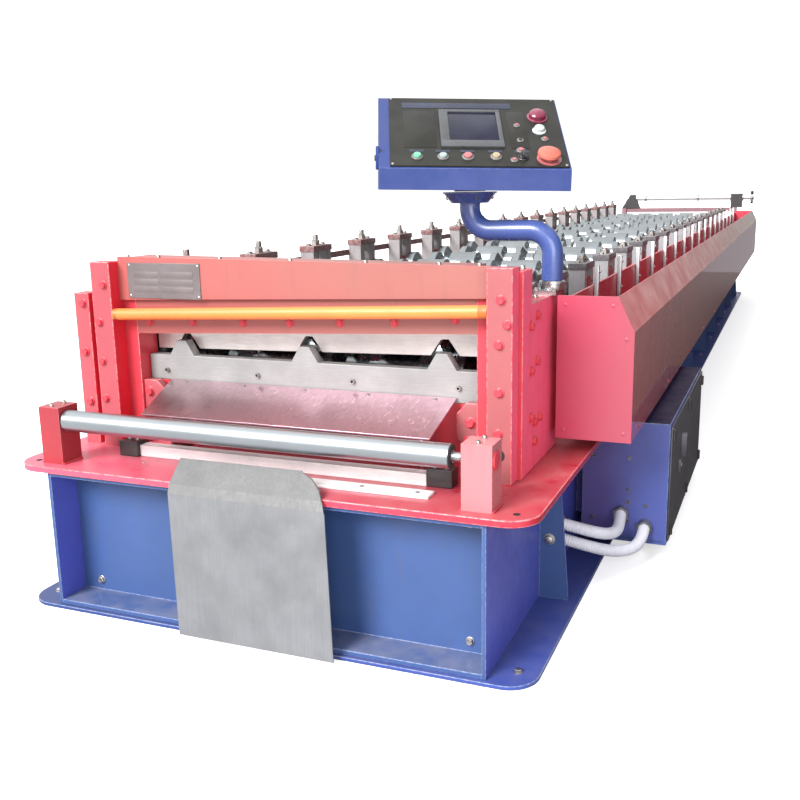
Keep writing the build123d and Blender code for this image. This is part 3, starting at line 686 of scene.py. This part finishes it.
# a dark disc on the right post's face: painted shade standing for a hole
k.lathe((673, 285.2, 561), (0, -1, 0), [(0, 19), (0.6, 19), (0.6, 0)], 24, 1)
for y, z in ((505, 936), (432, 914), (505, 800), (440, 780), (440, 640), (480, 620), (540, 622), (480, 560)):
    for s in (-1, 1):
        k.bolt((s * 724, y, z), (s, 0, 0), 14, 2)
for x, z in ((-538, 891), (-370, 897), (-183, 901), (-15, 907), (157, 913), (335, 920), (524, 935)):
    k.bolt((x, 350, z), (0, -1, 0), 12, 2)
for x, y, z in ((-566, 360, 655), (-560, 360, 600), (566, 360, 632), (560, 360, 575)):
    k.bolt((x, y, z), (0, -1, 0), 15, 2)
for x in (-600, -480, -250, 0, 250, 480, 600):
    k.cap_screw((x, 341, 1105 - (x + 637) * 0.011 - 0.5), (0, 0, 1), 8, 0, 1)
for s in (-1, 1):
    for y in (372, 428, 520, 600):
        top = 1077 if y < 450 else 975
        k.cap_screw((s * (700 if y < 450 else 694), y, top), (0, 0, 1), 10, 0, 1)
    # slotted hole beside the window: a thin dark slab on the face, painted shade standing for the slot
    k.slab([(s * 650 - 6, 349.8, 590), (s * 650 + 6, 349.8, 590), (s * 650 + 6, 349.8, 705), (s * 650 - 6, 349.8, 705)],
           (0, 0.5, 0), 0, 1)
k.done()

k = Kit("blade_screws", "machine", "bolt", "hole")
for x in (-517, -168, 171, 518):
    k.cap_screw((x, 400, 725), (0, -1, 0), 10, 0, 1)
k.done()

k = Kit("carrier_details", "knife", "bolt", "dark", "red")
for x in (-540, -420, -300, -180, -60, 60, 180, 300, 420, 540):
    k.bolt((x, 556, 905), (0, 1, 0), 12, 0)
    k.bolt((x, 556, 1010), (0, 1, 0), 10, 0)
for x in (-450, -150, 150, 450):
    k.box(x - 14, x + 14, 557, 572, 880, 1030, 2, 2)
k.done()

k = Kit("cylinder_details", "machine", "dark", "rubber", "bolt")
for s in (-1, 1):
    k.lathe((s * 614, 518, 838), (0, 0, 1), [(0, 36.5), (2, 41), (20, 41), (24, 38), (24, 17.5)], 28, 0)
    k.lathe((s * 614, 518, 475), (0, 0, 1), [(0, 52), (12, 52), (14, 50), (14, 36)], 28, 0)
    for a in range(4):
        t = math.pi / 4 + a * math.pi / 2
        k.bolt((s * 614 + 44 * math.cos(t), 518 + 44 * math.sin(t), 488), (0, 0, 1), 6, 2)
    k.lathe((s * 614, 554, 560), (0, 1, 0), [(0, 11), (14, 11), (14, 8), (22, 8)], 16, 2)
    k.tube([(s * 614, 574, 560), (s * 614, 606, 556), (s * 600, 628, 536), (s * 585, 632, 505), (s * 580, 632, 478)], 7, 12, 1)
    k.lathe((s * 614, 554, 800), (0, 1, 0), [(0, 11), (14, 11), (14, 8), (22, 8)], 16, 2)
    k.tube([(s * 614, 574, 800), (s * 614, 596, 796), (s * 606, 616, 770), (s * 600, 622, 700), (s * 600, 624, 600),
            (s * 604, 636, 520), (s * 604, 640, 478)], 7, 12, 1)
k.done()

k = Kit("nameplate_rivets", "machine", "steel", "plate")
for x in (-590, -328):
    for z in (980, 1078):
        k.lathe((x, 329, z), (0, -1, 0), [(0, 4), (0.8, 4), (1.8, 2.6), (2.2, 0)], 14, 0)
for i, (x0, x1) in enumerate(((-572, -478), (-470, -346))):
    for j in range(3):
        k.box(x0, x1, 328.3, 329.2, 992 + j * 24, 1010 + j * 24, 0.3, 1)
k.done()

k = Kit("bar_collars", "machine", "orange")
k.lathe((612, 300, 967.1), (1, 0, 0.0377), [(0, 19.4), (1, 19.9), (23, 19.9), (24, 18)], 28, 0)
k.lathe((-634, 300, 920.2), (1, 0, 0.0377), [(0, 18), (1, 19.7), (12, 19.7), (13, 19.2)], 28, 0)
k.done()

# ---- delivery side -------------------------------------------------------------
k = Kit("roller_bracket_details", "machine", "bolt", "red", "dark", "hole")
for x0, x1, out in ((-754, -676, -1), (644, 729, 1)):
    xm = (x0 + x1) / 2
    face = x0 if out < 0 else x1
    inner = x1 if out < 0 else x0
    k.lathe((face, 72, 612), (out, 0, 0), [(0, 27), (3, 27), (5, 25), (5, 14.2)], 28, 1)
    for a in range(3):
        t = a * 2 * math.pi / 3 + 0.5
        k.cap_screw((face, 72 + 21 * math.cos(t) , 612 + 21 * math.sin(t)), (out, 0, 0), 4, 0, 3)
    k.lathe((inner, 72, 612), (-out, 0, 0), [(0, 24), (4, 24), (6, 21), (6, 13.5)], 28, 2)
    for y in (56, 112):
        k.cap_screw((xm, y, 658), (0, 0, 1), 8, 0, 3)
    for sx in (x0 + 4, x1 - 4):
        # weld bead at the foot
        k.tube([(sx + (-6 if sx < xm else 6), 42 + i * 7 + rnd.uniform(-0.5, 0.5), 477.5) for i in range(13)], 3.4, 8, 1)
k.done()

k = Kit("roller_ends", "runout_roller", "rubber", "steel")
for s, x in ((-1, -668), (1, 606)):
    k.lathe((x, 72, 612), (s, 0, 0), [(-0.5, 33.6), (3, 33.2), (4.5, 30), (4.5, 20), (2, 18), (2, 12)], 40, 0)
    k.lathe((x + s * 2, 72, 612), (s, 0, 0), [(0, 18), (5, 18), (5, 13.5)], 28, 1)
k.done(50)

k = Kit("support_bar_details", "machine", "bolt", "hole")
for x in (-555, -525, 505, 540):
    k.cap_screw((x, 222, 525 if x < 0 else 528), (0, 0, 1), 8, 0, 1)
for x in (-430, -250, -60, 130, 320, 490):
    k.lathe((x, 122, 484), (0, 0, 1), [(0, 7), (1.2, 6), (1.4, 0)], 14, 0)
k.done()

k = Kit("table_details", "machine", "galv", "bolt")
for x in (-430, -210, 10, 230, 450):
    z = 695 - 0.234 * (396 - 378)
    k.lathe((x, 378, z - 0.6), (0, -0.2285, 0.9735), [(0, 8), (1.2, 8), (3.2, 5.4), (3.8, 0)], 16, 1)
k.done()

# ---- stations ---------------------------------------------------------------------
k = Kit("stand_bolts", "machine", "bolt", "cap", "dark", "post", "hole", "block")
for i in range(18):
    y = 680 + 505 * i
    for s in (-1, 1):
        cx = s * 608
        for d in (-1, 1):
            k.bolt((cx, y + d * 70, 1060 if s < 0 else 998), (0, 0, 1), 12, 0)
            k.box(cx - 39, cx + 39, y + d * 70 - 23, y + d * 70 + 23, 475.2, 489, 2, 3)
        if s < 0:
            k.hexa((cx, y, 1078.1), (0, 0, 1), 30, 6, 0, 0.7)
        k.lathe((cx, y, 1105.6 if s < 0 else 1021.6), (0, 0, 1), [(-5, 12.3), (0, 10.6), (0, 0)], 18, 0)
        for zc in (680, 870):
            for f in (-1, 1):
                xf = cx + f * 29
                k.lathe((xf, y, zc), (f, 0, 0), [(0, 52), (6, 52), (8, 49), (8, 34), (4, 31.6)], 28, 5)
                k.lathe((xf + f * 7, y, zc), (f, 0, 0), [(0, 35), (2.4, 35), (2.4, 31)], 24, 2)
                for a in range(4):
                    t = math.pi / 4 + a * math.pi / 2
                    k.cap_screw((xf + f * 7.6, y + 43 * math.cos(t), zc + 43 * math.sin(t)), (f, 0, 0), 5, 0, 4)
            k.lathe((cx + s * 29, y + 47, zc + 50), (s, 0, 0), [(0, 4), (6, 4), (7, 2.5), (11, 2.5), (12, 0)], 10, 0)
k.done()

for i in range(18):
    y = 680 + 505 * i
    k = Kit(f"shaft_collars_{i + 1:02d}", f"shaft_{i + 1:02d}", "dark", "bolt", "roll")
    for x in (-561, 552):
        k.lathe((x, y, 870), (1, 0, 0), [(0, 30), (0, 43), (1.2, 44.2), (7.8, 44.2), (9, 43), (9, 30)], 32, 0)
        for a in (0.4, 2.5, 4.6):
            k.cap_screw((x + 4.5, y + 43.4 * math.cos(a), 870 + 43.4 * math.sin(a)), (0, math.cos(a), math.sin(a)), 3, 1, 0)
    # shaft end with its chamfer and key
    k.lathe((-652, y, 870), (-1, 0, 0), [(-2, 30.0), (0, 27), (0, 8), (-1.5, 4), (-1.5, 0)], 28, 2)
    k.box(-648, -604, y - 5, y + 5, 897, 902.5, 0.8, 1)
    k.done()

# ---- bars in the guard and the chains beside them ---------------------------------
k = Kit("guard_post_bolts", "machine", "bolt", "red", "hole")
for i in range(17):
    y = 1190 + 475 * i
    k.box(759.5, 800, y - 34, y + 34, 536.1, 543, 1.5, 1)
    for d in (-24, 24):
        k.bolt((790, y + d, 543), (0, 0, 1), 7, 0)
    for z in (620, 905, 1005):
        k.cap_screw((775.5, y, z), (1, 0, 0), 6, 0, 2)
k.done()


def sprocket(k, x0, x1, y, z, r, teeth, mat=0):
    """Toothed wheel, its axis along X."""
    pts = []
    for i in range(teeth):
        for f, q in ((0.00, r - 7), (0.22, r - 6), (0.40, r), (0.60, r), (0.78, r - 6)):
            a = 2 * math.pi * (i + f) / teeth
            pts.append((x0, y + q * math.cos(a), z + q * math.sin(a)))
    k.slab(pts, (x1 - x0, 0, 0), 0, mat)
    k.lathe((x1, y, z), (1, 0, 0), [(0, 42), (10, 42), (12, 40), (12, 24)], 24, mat)


k = Kit("guard_drive", "machine", "dark", "steel", "bolt")
for i in range(1, 18):
    y = 680 + 505 * i
    k.lathe((758, y, 680), (1, 0, 0), [(0, 38), (6, 38), (6, 26), (80, 26), (82, 24), (82, 0)], 24, 1)
    for x in ((802,) if i in (1, 17) else (802, 826)):
        sprocket(k, x, x + 8, y, 680, 86, 21)
for i in range(1, 17):
    y = 680 + 505 * i
    x = 806 if i % 2 else 830
    for s in (-1, 1):
        z = 680 + s * 82
        n = 19
        for j in range(n):
            a, b = y + 505 * j / n, y + 505 * (j + 1) / n
            w = 5 if j % 2 else 8
            for f in (-1, 1):
                k.slab([(x + f * w, a - 5, z - 6), (x + f * w, b + 5, z - 6), (x + f * w, b + 8, z), (x + f * w, b + 5, z + 6),
                        (x + f * w, a - 5, z + 6), (x + f * w, a - 8, z)], (2.2 * f, 0, 0), 0, 0)
            k.lathe((x - 5, a, z), (1, 0, 0), [(0, 5), (10, 5)], 8, 1)
k.done()

# ---- guard ------------------------------------------------------------------------
k = Kit("guard_details", "machine", "guard_side", "hole", "bolt", "guard_end")
for j in range(12):
    y = 820 + 740 * j
    k.lathe((986, y, 548), (1, 0, 0), [(0, 7), (0.8, 7), (2.6, 4.6), (3.0, 0)], 12, 0)
for x, z in ((775, 556), (775, 950), (920, 950), (962, 556), (962, 850)):
    k.lathe((x, 655, z), (0, -1, 0), [(0, 6), (0.8, 6), (1.6, 4.2), (1.9, 0)], 16, 3)
k.done()

# ---- cabinet ------------------------------------------------------------------------
k = Kit("cabinet_details", "machine", "blue", "hole", "bolt", "dark", "seal")
for x, z in ((925, 369), (925, 252), (925, 207), (925, 139), (986, 200), (800, 369), (800, 139)):
    k.cap_screw((x, 1050, z), (0, -1, 0), 8, 2, 1)
k.box(772, 1048, 1047.5, 1050.5, 72, 78, 0.8, 0)
for y in (1090, 1600, 2110):
    for z in (90, 430):
        k.lathe((1068, y, z), (0, 0, 1), [(0, 7), (1, 8), (40, 8), (41, 7), (41, 0)], 14, 3)
for y in (1075, 1595, 2125):
    for z in (82, 478):
        k.lathe((1066, y, z), (1, 0, 0), [(0, 6), (1.0, 6), (2.6, 3.6), (2.8, 0)], 12, 2)
k.lathe((1076, 1309, 285), (1, 0, 0), [(0, 12), (2, 12), (3, 10), (3, 3)], 20, 2)
k.done()

# ---- handle of the adjusting shaft ----------------------------------------------------
k = Kit("handle_grips", "feed_shaft", "black")
for a in ((0, 0, 1), (0, 0, -1), (0, 1, 0), (0, -1, 0)):
    k.lathe((908, 9700, 1120), a, [(34, 0), (34, 11), (37, 13.5), (60, 14.5), (69, 13), (71.5, 8), (71.5, 0)], 18, 0)
k.done()

# ---- base -----------------------------------------------------------------------------
k = Kit("base_details", "machine", "blue", "bolt", "hole", "steel")
# bolt on the first stiffener of the drive side
k.lathe((752, 590.5, 212), (0, -1, 0), [(0, 19), (3, 19), (4, 13), (12, 12.5), (14, 9), (14, 0)], 22, 1)
for s in (-1, 1):
    for j in range(10):
        y = 590 + 980 * j
        if s > 0 and 990 < y < 2210:
            continue
        # weld beads along the stiffener, rough and low
        k.tube([(s * (721 + 93 - 33 * t / 12), y - 2, 20 + (440 - 12) * t / 12) for t in range(13)], 0.8, 6, 0)
        k.tube([(s * (722 + 92 * t / 10), y - 1.5 + rnd.uniform(-.5, .5), 13.5) for t in range(11)], 3.2, 6, 0)
    for j in range(34):
        y = 90 + 290 * j
        if s > 0 and y < 2300 and y > 950:
            continue
        if j % 3 == 0:
            k.bolt((s * 790, y, 12), (0, 0, 1), 12, 1)
for x, z in ((-640, 60), (640, 60), (-640, 410), (640, 410)):
    k.bolt((x, 127, z), (0, -1, 0), 12, 1)
k.lathe((721, 690, 186), (1, 0, 0), [(0, 22), (6, 22), (8, 20), (8, 14), (16, 14), (18, 12), (18, 0)], 28, 3)
k.lathe((721, 690, 110), (1, 0, 0), [(0, 13), (5, 13), (7, 10), (7, 0)], 20, 0)
# dark discs on the bed plate's top at the corners: painted shade standing for holes
for x in (-790, 790):
    for y in (60, 9840):
        k.lathe((x, y, 475), (0, 0, 1), [(0, 10), (0.6, 10), (0.6, 0)], 20, 2)
k.done()

# ---- console ---------------------------------------------------------------------------
BX, BY, BZ = 441, 740, 1296
W, HGT, LIP = 584, 294, 64
FR, TP, BK = -159, 180, 208
place = Matrix.Translation(V(BX, BY, BZ)) @ Matrix.Rotation(math.radians(24), 4, "Z") @ Matrix.Rotation(
    math.radians(1.5), 4, "Y")
sl = math.hypot(TP - FR, HGT - LIP)
sy, sz = (TP - FR) / sl, (HGT - LIP) / sl
# local axes of the sloped panel: x along, y up the slope, z out of it
tilt = Matrix(((1, 0, 0, 0), (0, sy, -sz, FR / 1000), (0, sz, sy, LIP / 1000), (0, 0, 0, 1)))
face = place @ tilt
k = Kit("console_face", "control_console", "panel", "bezel", "screen", "strip", "btn_green", "btn_grey", "btn_dull",
        "btn_yellow", "black", "btn_red", "btn_white", "btn_wine", "bolt", "ring", world=face)
T = 6.0
# screen with its raised bezel
x0, x1, t0, t1 = -99, 98, 104, 322
for a, b, c, d in ((x0, x1, t0, t0 + 36), (x0, x1, t1 - 14, t1), (x0, x0 + 29, t0 + 34, t1 - 12), (x1 - 14, x1, t0 + 34, t1 - 12)):
    k.box(a, b, c, d, T - 0.5, T + 7, 1.6, 1)
k.box(x0 + 27, x1 - 12, t0 + 34, t1 - 12, T - 0.5, T + 3, 0.5, 2)
# blank strips and fields
k.box(-216, 138, 338, 370, T - 0.5, T + 1.2, 0.4, 3)
k.box(-214, -112, 104, 318, T - 0.5, T + 0.9, 0.4, 0)
k.box(118, 176, 104, 318, T - 0.5, T + 0.9, 0.4, 0)
for u in (-175, -96, -20, 66, 148):
    k.box(u - 22, u + 22, 80, 91, T - 0.5, T + 1.0, 0.3, 3)


def button(u, t, mat, r=12, h=9, ring=13):
    k.lathe((u, t, T), (0, 0, 1), [(0, r + 6), (2.5, r + 6), (4, r + 4), (4, r + 1)], 28, ring)
    k.lathe((u, t, T + 2), (0, 0, 1), [(0, r), (h - 2, r), (h - 0.4, r * 0.9), (h, r * 0.6), (h, 0)], 28, mat)


button(-175, 53, 4)
button(-96, 53, 5)
button(-20, 54, 6, 13)
button(66, 55, 7)
# selector with its lever
k.lathe((148, 51, T), (0, 0, 1), [(0, 17), (3, 17), (5, 15), (5, 13), (9, 13), (10, 12), (10, 0)], 28, 8)
k.box(144, 152, 36, 66, T + 8, T + 20, 1.8, 8)
button(120, 38, 6, 6, 6)
button(146, 92, 6, 8, 6)
# emergency stop
k.lathe((228, 48, T), (0, 0, 1), [(0, 38), (1.5, 38), (1.5, 20)], 36, 6)
k.lathe((226, 50, T), (0, 0, 1), [(0, 20), (6, 18), (9, 22), (12, 33), (17, 36), (23, 34), (28, 24), (30, 11), (30, 0)], 36, 9)
# upper right lamps
k.lathe((219, 286, T), (0, 0, 1), [(0, 34), (3, 34), (5, 31), (5, 28), (16, 27), (22, 21), (25, 11), (26, 0)], 30, 11)
k.lathe((216, 206, T), (0, 0, 1), [(0, 22), (3, 22), (5, 19), (5, 17), (14, 16), (18, 12), (20, 0)], 30, 10)
button(228, 158, 6, 6, 5)
button(148, 236, 6, 5, 5)
button(150, 150, 8, 5, 5)
for u in (-250, 278):
    for t in (14, 396):
        k.lathe((u, t, T), (0, 0, 1), [(0, 5), (1.2, 4.6), (2.2, 2.6), (2.4, 0)], 14, 12)
k.done()

k = Kit("console_case", "control_console", "console", "dark", "bolt", "black", "hole", world=place)
# latch and hinges on the left and right sides, a back cover with its screws, and louvres at the back
k.box(-W / 2 - 9, -W / 2 + 1, -95, -55, 60, 130, 2.5, 0)
k.lathe((-W / 2 - 9, -75, 95), (-1, 0, 0), [(0, 9), (3, 9), (4, 7), (4, 0)], 18, 1)
for z in (60, 200):
    k.lathe((W / 2 + 2, BK - 14, z), (0, 0, 1), [(0, 6), (1, 7), (50, 7), (51, 6), (51, 0)], 16, 0)
k.box(-W / 2 + 22, W / 2 - 22, BK - 0.5, BK + 2.5, 22, HGT - 22, 1.2, 0)
for u in (-W / 2 + 36, 0, W / 2 - 36):
    for z in (36, HGT - 36):
        k.lathe((u, BK + 2.5, z), (0, 1, 0), [(0, 6), (1.2, 5.6), (2.6, 3), (2.8, 0)], 14, 2)
for j in range(8):
    k.box(-90, 90, BK + 2, BK + 6, 90 + 14 * j, 95 + 14 * j, 1, 0)
    # dark strips between the louvre slats: painted shade in the gaps
    k.box(-88, 88, BK + 2.2, BK + 2.8, 96 + 14 * j, 100 + 14 * j, 0, 4)
k.done()

k = Kit("arm_details", "arm", "pipe", "bolt", "black")
k.lathe((BX, BY, BZ - 9.4), (0, 0, 1), [(0, 84.6), (1.0, 87.0), (3.2, 87.2), (4.3, 86.0), (4.3, 54)], 48, 0)
for a in range(4):
    t = a * math.pi / 2 + 0.6
    k.cap_screw((BX + 72.5 * math.cos(t), BY + 72.5 * math.sin(t), BZ - 22), (0.75 * math.cos(t), 0.75 * math.sin(t), -0.66), 6, 1, 2)
k.done()

k = Kit("arm_base_bolts", "machine", "bolt", "steel")
for x, y in ((676, 688), (730, 688), (676, 772), (730, 772)):
    k.bolt((x, y, 989), (0, 0, 1), 9, 0)
k.lathe((712, 740, 1014), (0, 0, 1), [(-10, 38.5), (-8, 40.5), (-2, 40.5), (0, 38.5)], 32, 1)
k.done()

# ---- feed end ---------------------------------------------------------------------------
k = Kit("feed_details", "machine", "bolt", "dark", "red", "galv", "hole", "steel")
for x in (-535, 725):
    for z in (560, 700, 860, 960):
        k.bolt((x, 9740, z), (0, 1, 0), 12, 0)
    k.box(x - 60, x + 60, 9640, 9760, 475.2, 487, 2, 2)
    for dx in (-46, 46):
        for dy in (-46, 46):
            k.bolt((x + dx, 9700 + dy, 487), (0, 0, 1), 10, 0)
for x, f in ((806, 1), (680, -1)):
    k.lathe((x, 9700, 1120), (f, 0, 0), [(0, 33), (5, 33), (7, 30), (7, 22)], 28, 5)
for x in (-430, -180, 60, 300, 500):
    k.lathe((x, 9840, 764), (0, 0, 1), [(0, 7), (1, 7), (2.6, 4), (2.8, 0)], 14, 0)
# strip guides on the feed table
for x in (-440, 500):
    k.box(x - 12, x + 12, 9480, 9860, 764, 786, 2.5, 5)
    for y in (9520, 9820):
        k.bolt((x, y, 786), (0, 0, 1), 8, 0)
k.done()

k = Kit("feed_handle", "feed_shaft", "dark", "steel", "bolt")
for dx, dy, dz in ((0, 0, 1), (0, 0, -1), (0, 1, 0), (0, -1, 0)):
    k.lathe((908, 9700 + dy * 50, 1120 + dz * 50), (0, dy, dz), [(0, 10.4), (3, 12), (14, 12.4), (21, 10), (21.8, 0)], 20, 0)
k.lathe((924, 9700, 1120), (1, 0, 0), [(0, 26), (2, 24), (2, 9), (5, 8), (5, 0)], 28, 1)
for x in (-300, 300):
    k.lathe((x, 9700, 1120), (1, 0, 0), [(0, 20.2), (0, 29), (2, 30), (20, 30), (22, 29), (22, 20.2)], 28, 1)
k.done()

# ---- stage and light -----------------------------------------------------------------------
fm = bpy.data.meshes.new("floor")
R = 60
fm.from_pydata([(-R, -R, 0), (R, -R, 0), (R, R, 0), (-R, R, 0)], [], [(0, 1, 2, 3)])
k = Mat("floor_pale")
k.put(Base_Color=(0.88, 0.88, 0.885), Roughness=0.9, Specular_IOR_Level=0.1, Emission_Color=(1.0, 1.0, 1.0), Emission_Strength=0.55)
# what the floor throws back: pale in front of the machine, dark beside its drive side
nt = k.nt
far = k.calc("MULTIPLY", k.rng(k.part(k.co, "X"), 0.8, 1.25, 0, 1), k.rng(k.part(k.co, "Y"), -5.3, -4.5, 0, 1))
back = nt.nodes.new("ShaderNodeBsdfDiffuse")
beyond = k.rng(k.part(k.co, "Y"), 7.62, 7.72, 0, 1)
nt.links.new(k.mix(far, (0.50, 0.50, 0.51), k.mix(beyond, (0.085, 0.075, 0.075), (0.150, 0.140, 0.150))), back.inputs["Color"])
seen = nt.nodes.new("ShaderNodeLightPath")
both = nt.nodes.new("ShaderNodeMixShader")
nt.links.new(seen.outputs["Is Camera Ray"], both.inputs[0])
nt.links.new(back.outputs[0], both.inputs[1])
nt.links.new(k.b.outputs[0], both.inputs[2])
nt.links.new(both.outputs[0], k.out.inputs[0])
fm.materials.append(k.m)
floor = bpy.data.objects.new("floor", fm)
floor.location.z = -0.0006
bpy.context.scene.collection.objects.link(floor)

w = bpy.data.worlds.new("studio")
bpy.context.scene.world = w
w.use_nodes = True
# a pale room, dimmer on the drive side; the backdrop itself stays white
nt = w.node_tree
bg = nt.nodes["Background"]
co = nt.nodes.new("ShaderNodeTexCoord")
xyz = nt.nodes.new("ShaderNodeSeparateXYZ")
nt.links.new(co.outputs["Generated"], xyz.inputs[0])
mr = nt.nodes.new("ShaderNodeMapRange")
mr.interpolation_type = "SMOOTHSTEP"
for i, v in enumerate((-0.02, 0.13, 0.98, 0.16)):
    mr.inputs[i + 1].default_value = v
nt.links.new(xyz.outputs[0], mr.inputs[0])
high = nt.nodes.new("ShaderNodeMapRange")
high.interpolation_type = "SMOOTHSTEP"
for i, v in enumerate((0.35, 0.95, 1.0, 1.9)):
    high.inputs[i + 1].default_value = v
nt.links.new(xyz.outputs[2], high.inputs[0])
over = nt.nodes.new("ShaderNodeMath")
over.operation = "MULTIPLY"
nt.links.new(mr.outputs[0], over.inputs[0])
nt.links.new(high.outputs[0], over.inputs[1])
# the pale far wall, and the ceiling on the drive side
wall = nt.nodes.new("ShaderNodeMapRange")
wall.interpolation_type = "SMOOTHSTEP"
for i, v in enumerate((0.90, 0.985, 0.0, 1.3)):
    wall.inputs[i + 1].default_value = v
nt.links.new(xyz.outputs[1], wall.inputs[0])
roof = nt.nodes.new("ShaderNodeMapRange")
roof.interpolation_type = "SMOOTHSTEP"
for i, v in enumerate((0.25, 0.95, 0.0, 1.1)):
    roof.inputs[i + 1].default_value = v
nt.links.new(xyz.outputs[2], roof.inputs[0])
for extra in (wall, roof):
    top = nt.nodes.new("ShaderNodeMath")
    top.operation = "MAXIMUM"
    nt.links.new(over.outputs[0], top.inputs[0])
    nt.links.new(extra.outputs[0], top.inputs[1])
    over = top
seen = nt.nodes.new("ShaderNodeLightPath")
mx = nt.nodes.new("ShaderNodeMix")
nt.links.new(seen.outputs["Is Camera Ray"], mx.inputs[0])
nt.links.new(over.outputs[0], mx.inputs[2])
mx.inputs[3].default_value = 1.1
bg.inputs[0].default_value = (1.0, 1.0, 1.0, 1)
nt.links.new(mx.outputs[0], bg.inputs[1])

wash = bpy.data.objects.new("wash", bpy.data.lights.new("wash", "AREA"))
wash.data.shape = "RECTANGLE"
wash.data.size, wash.data.size_y = 3.2, 2.6
wash.data.energy = 180
wash.data.color = (1.0, 0.96, 0.94)
wash.location = V(3000, -3800, 1900)
wash.rotation_euler = (wash.location - V(500, 500, 700)).to_track_quat("Z", "Y").to_euler()
bpy.context.scene.collection.objects.link(wash)

sun = bpy.data.objects.new("key", bpy.data.lights.new("key", "SUN"))
sun.data.energy = 6.2
sun.data.angle = math.radians(28)
sun.data.color = (1.0, 0.985, 0.97)
to_light = Vector((-0.30, -0.80, 0.60))
sun.rotation_euler = to_light.to_track_quat("Z", "Y").to_euler()
bpy.context.scene.collection.objects.link(sun)
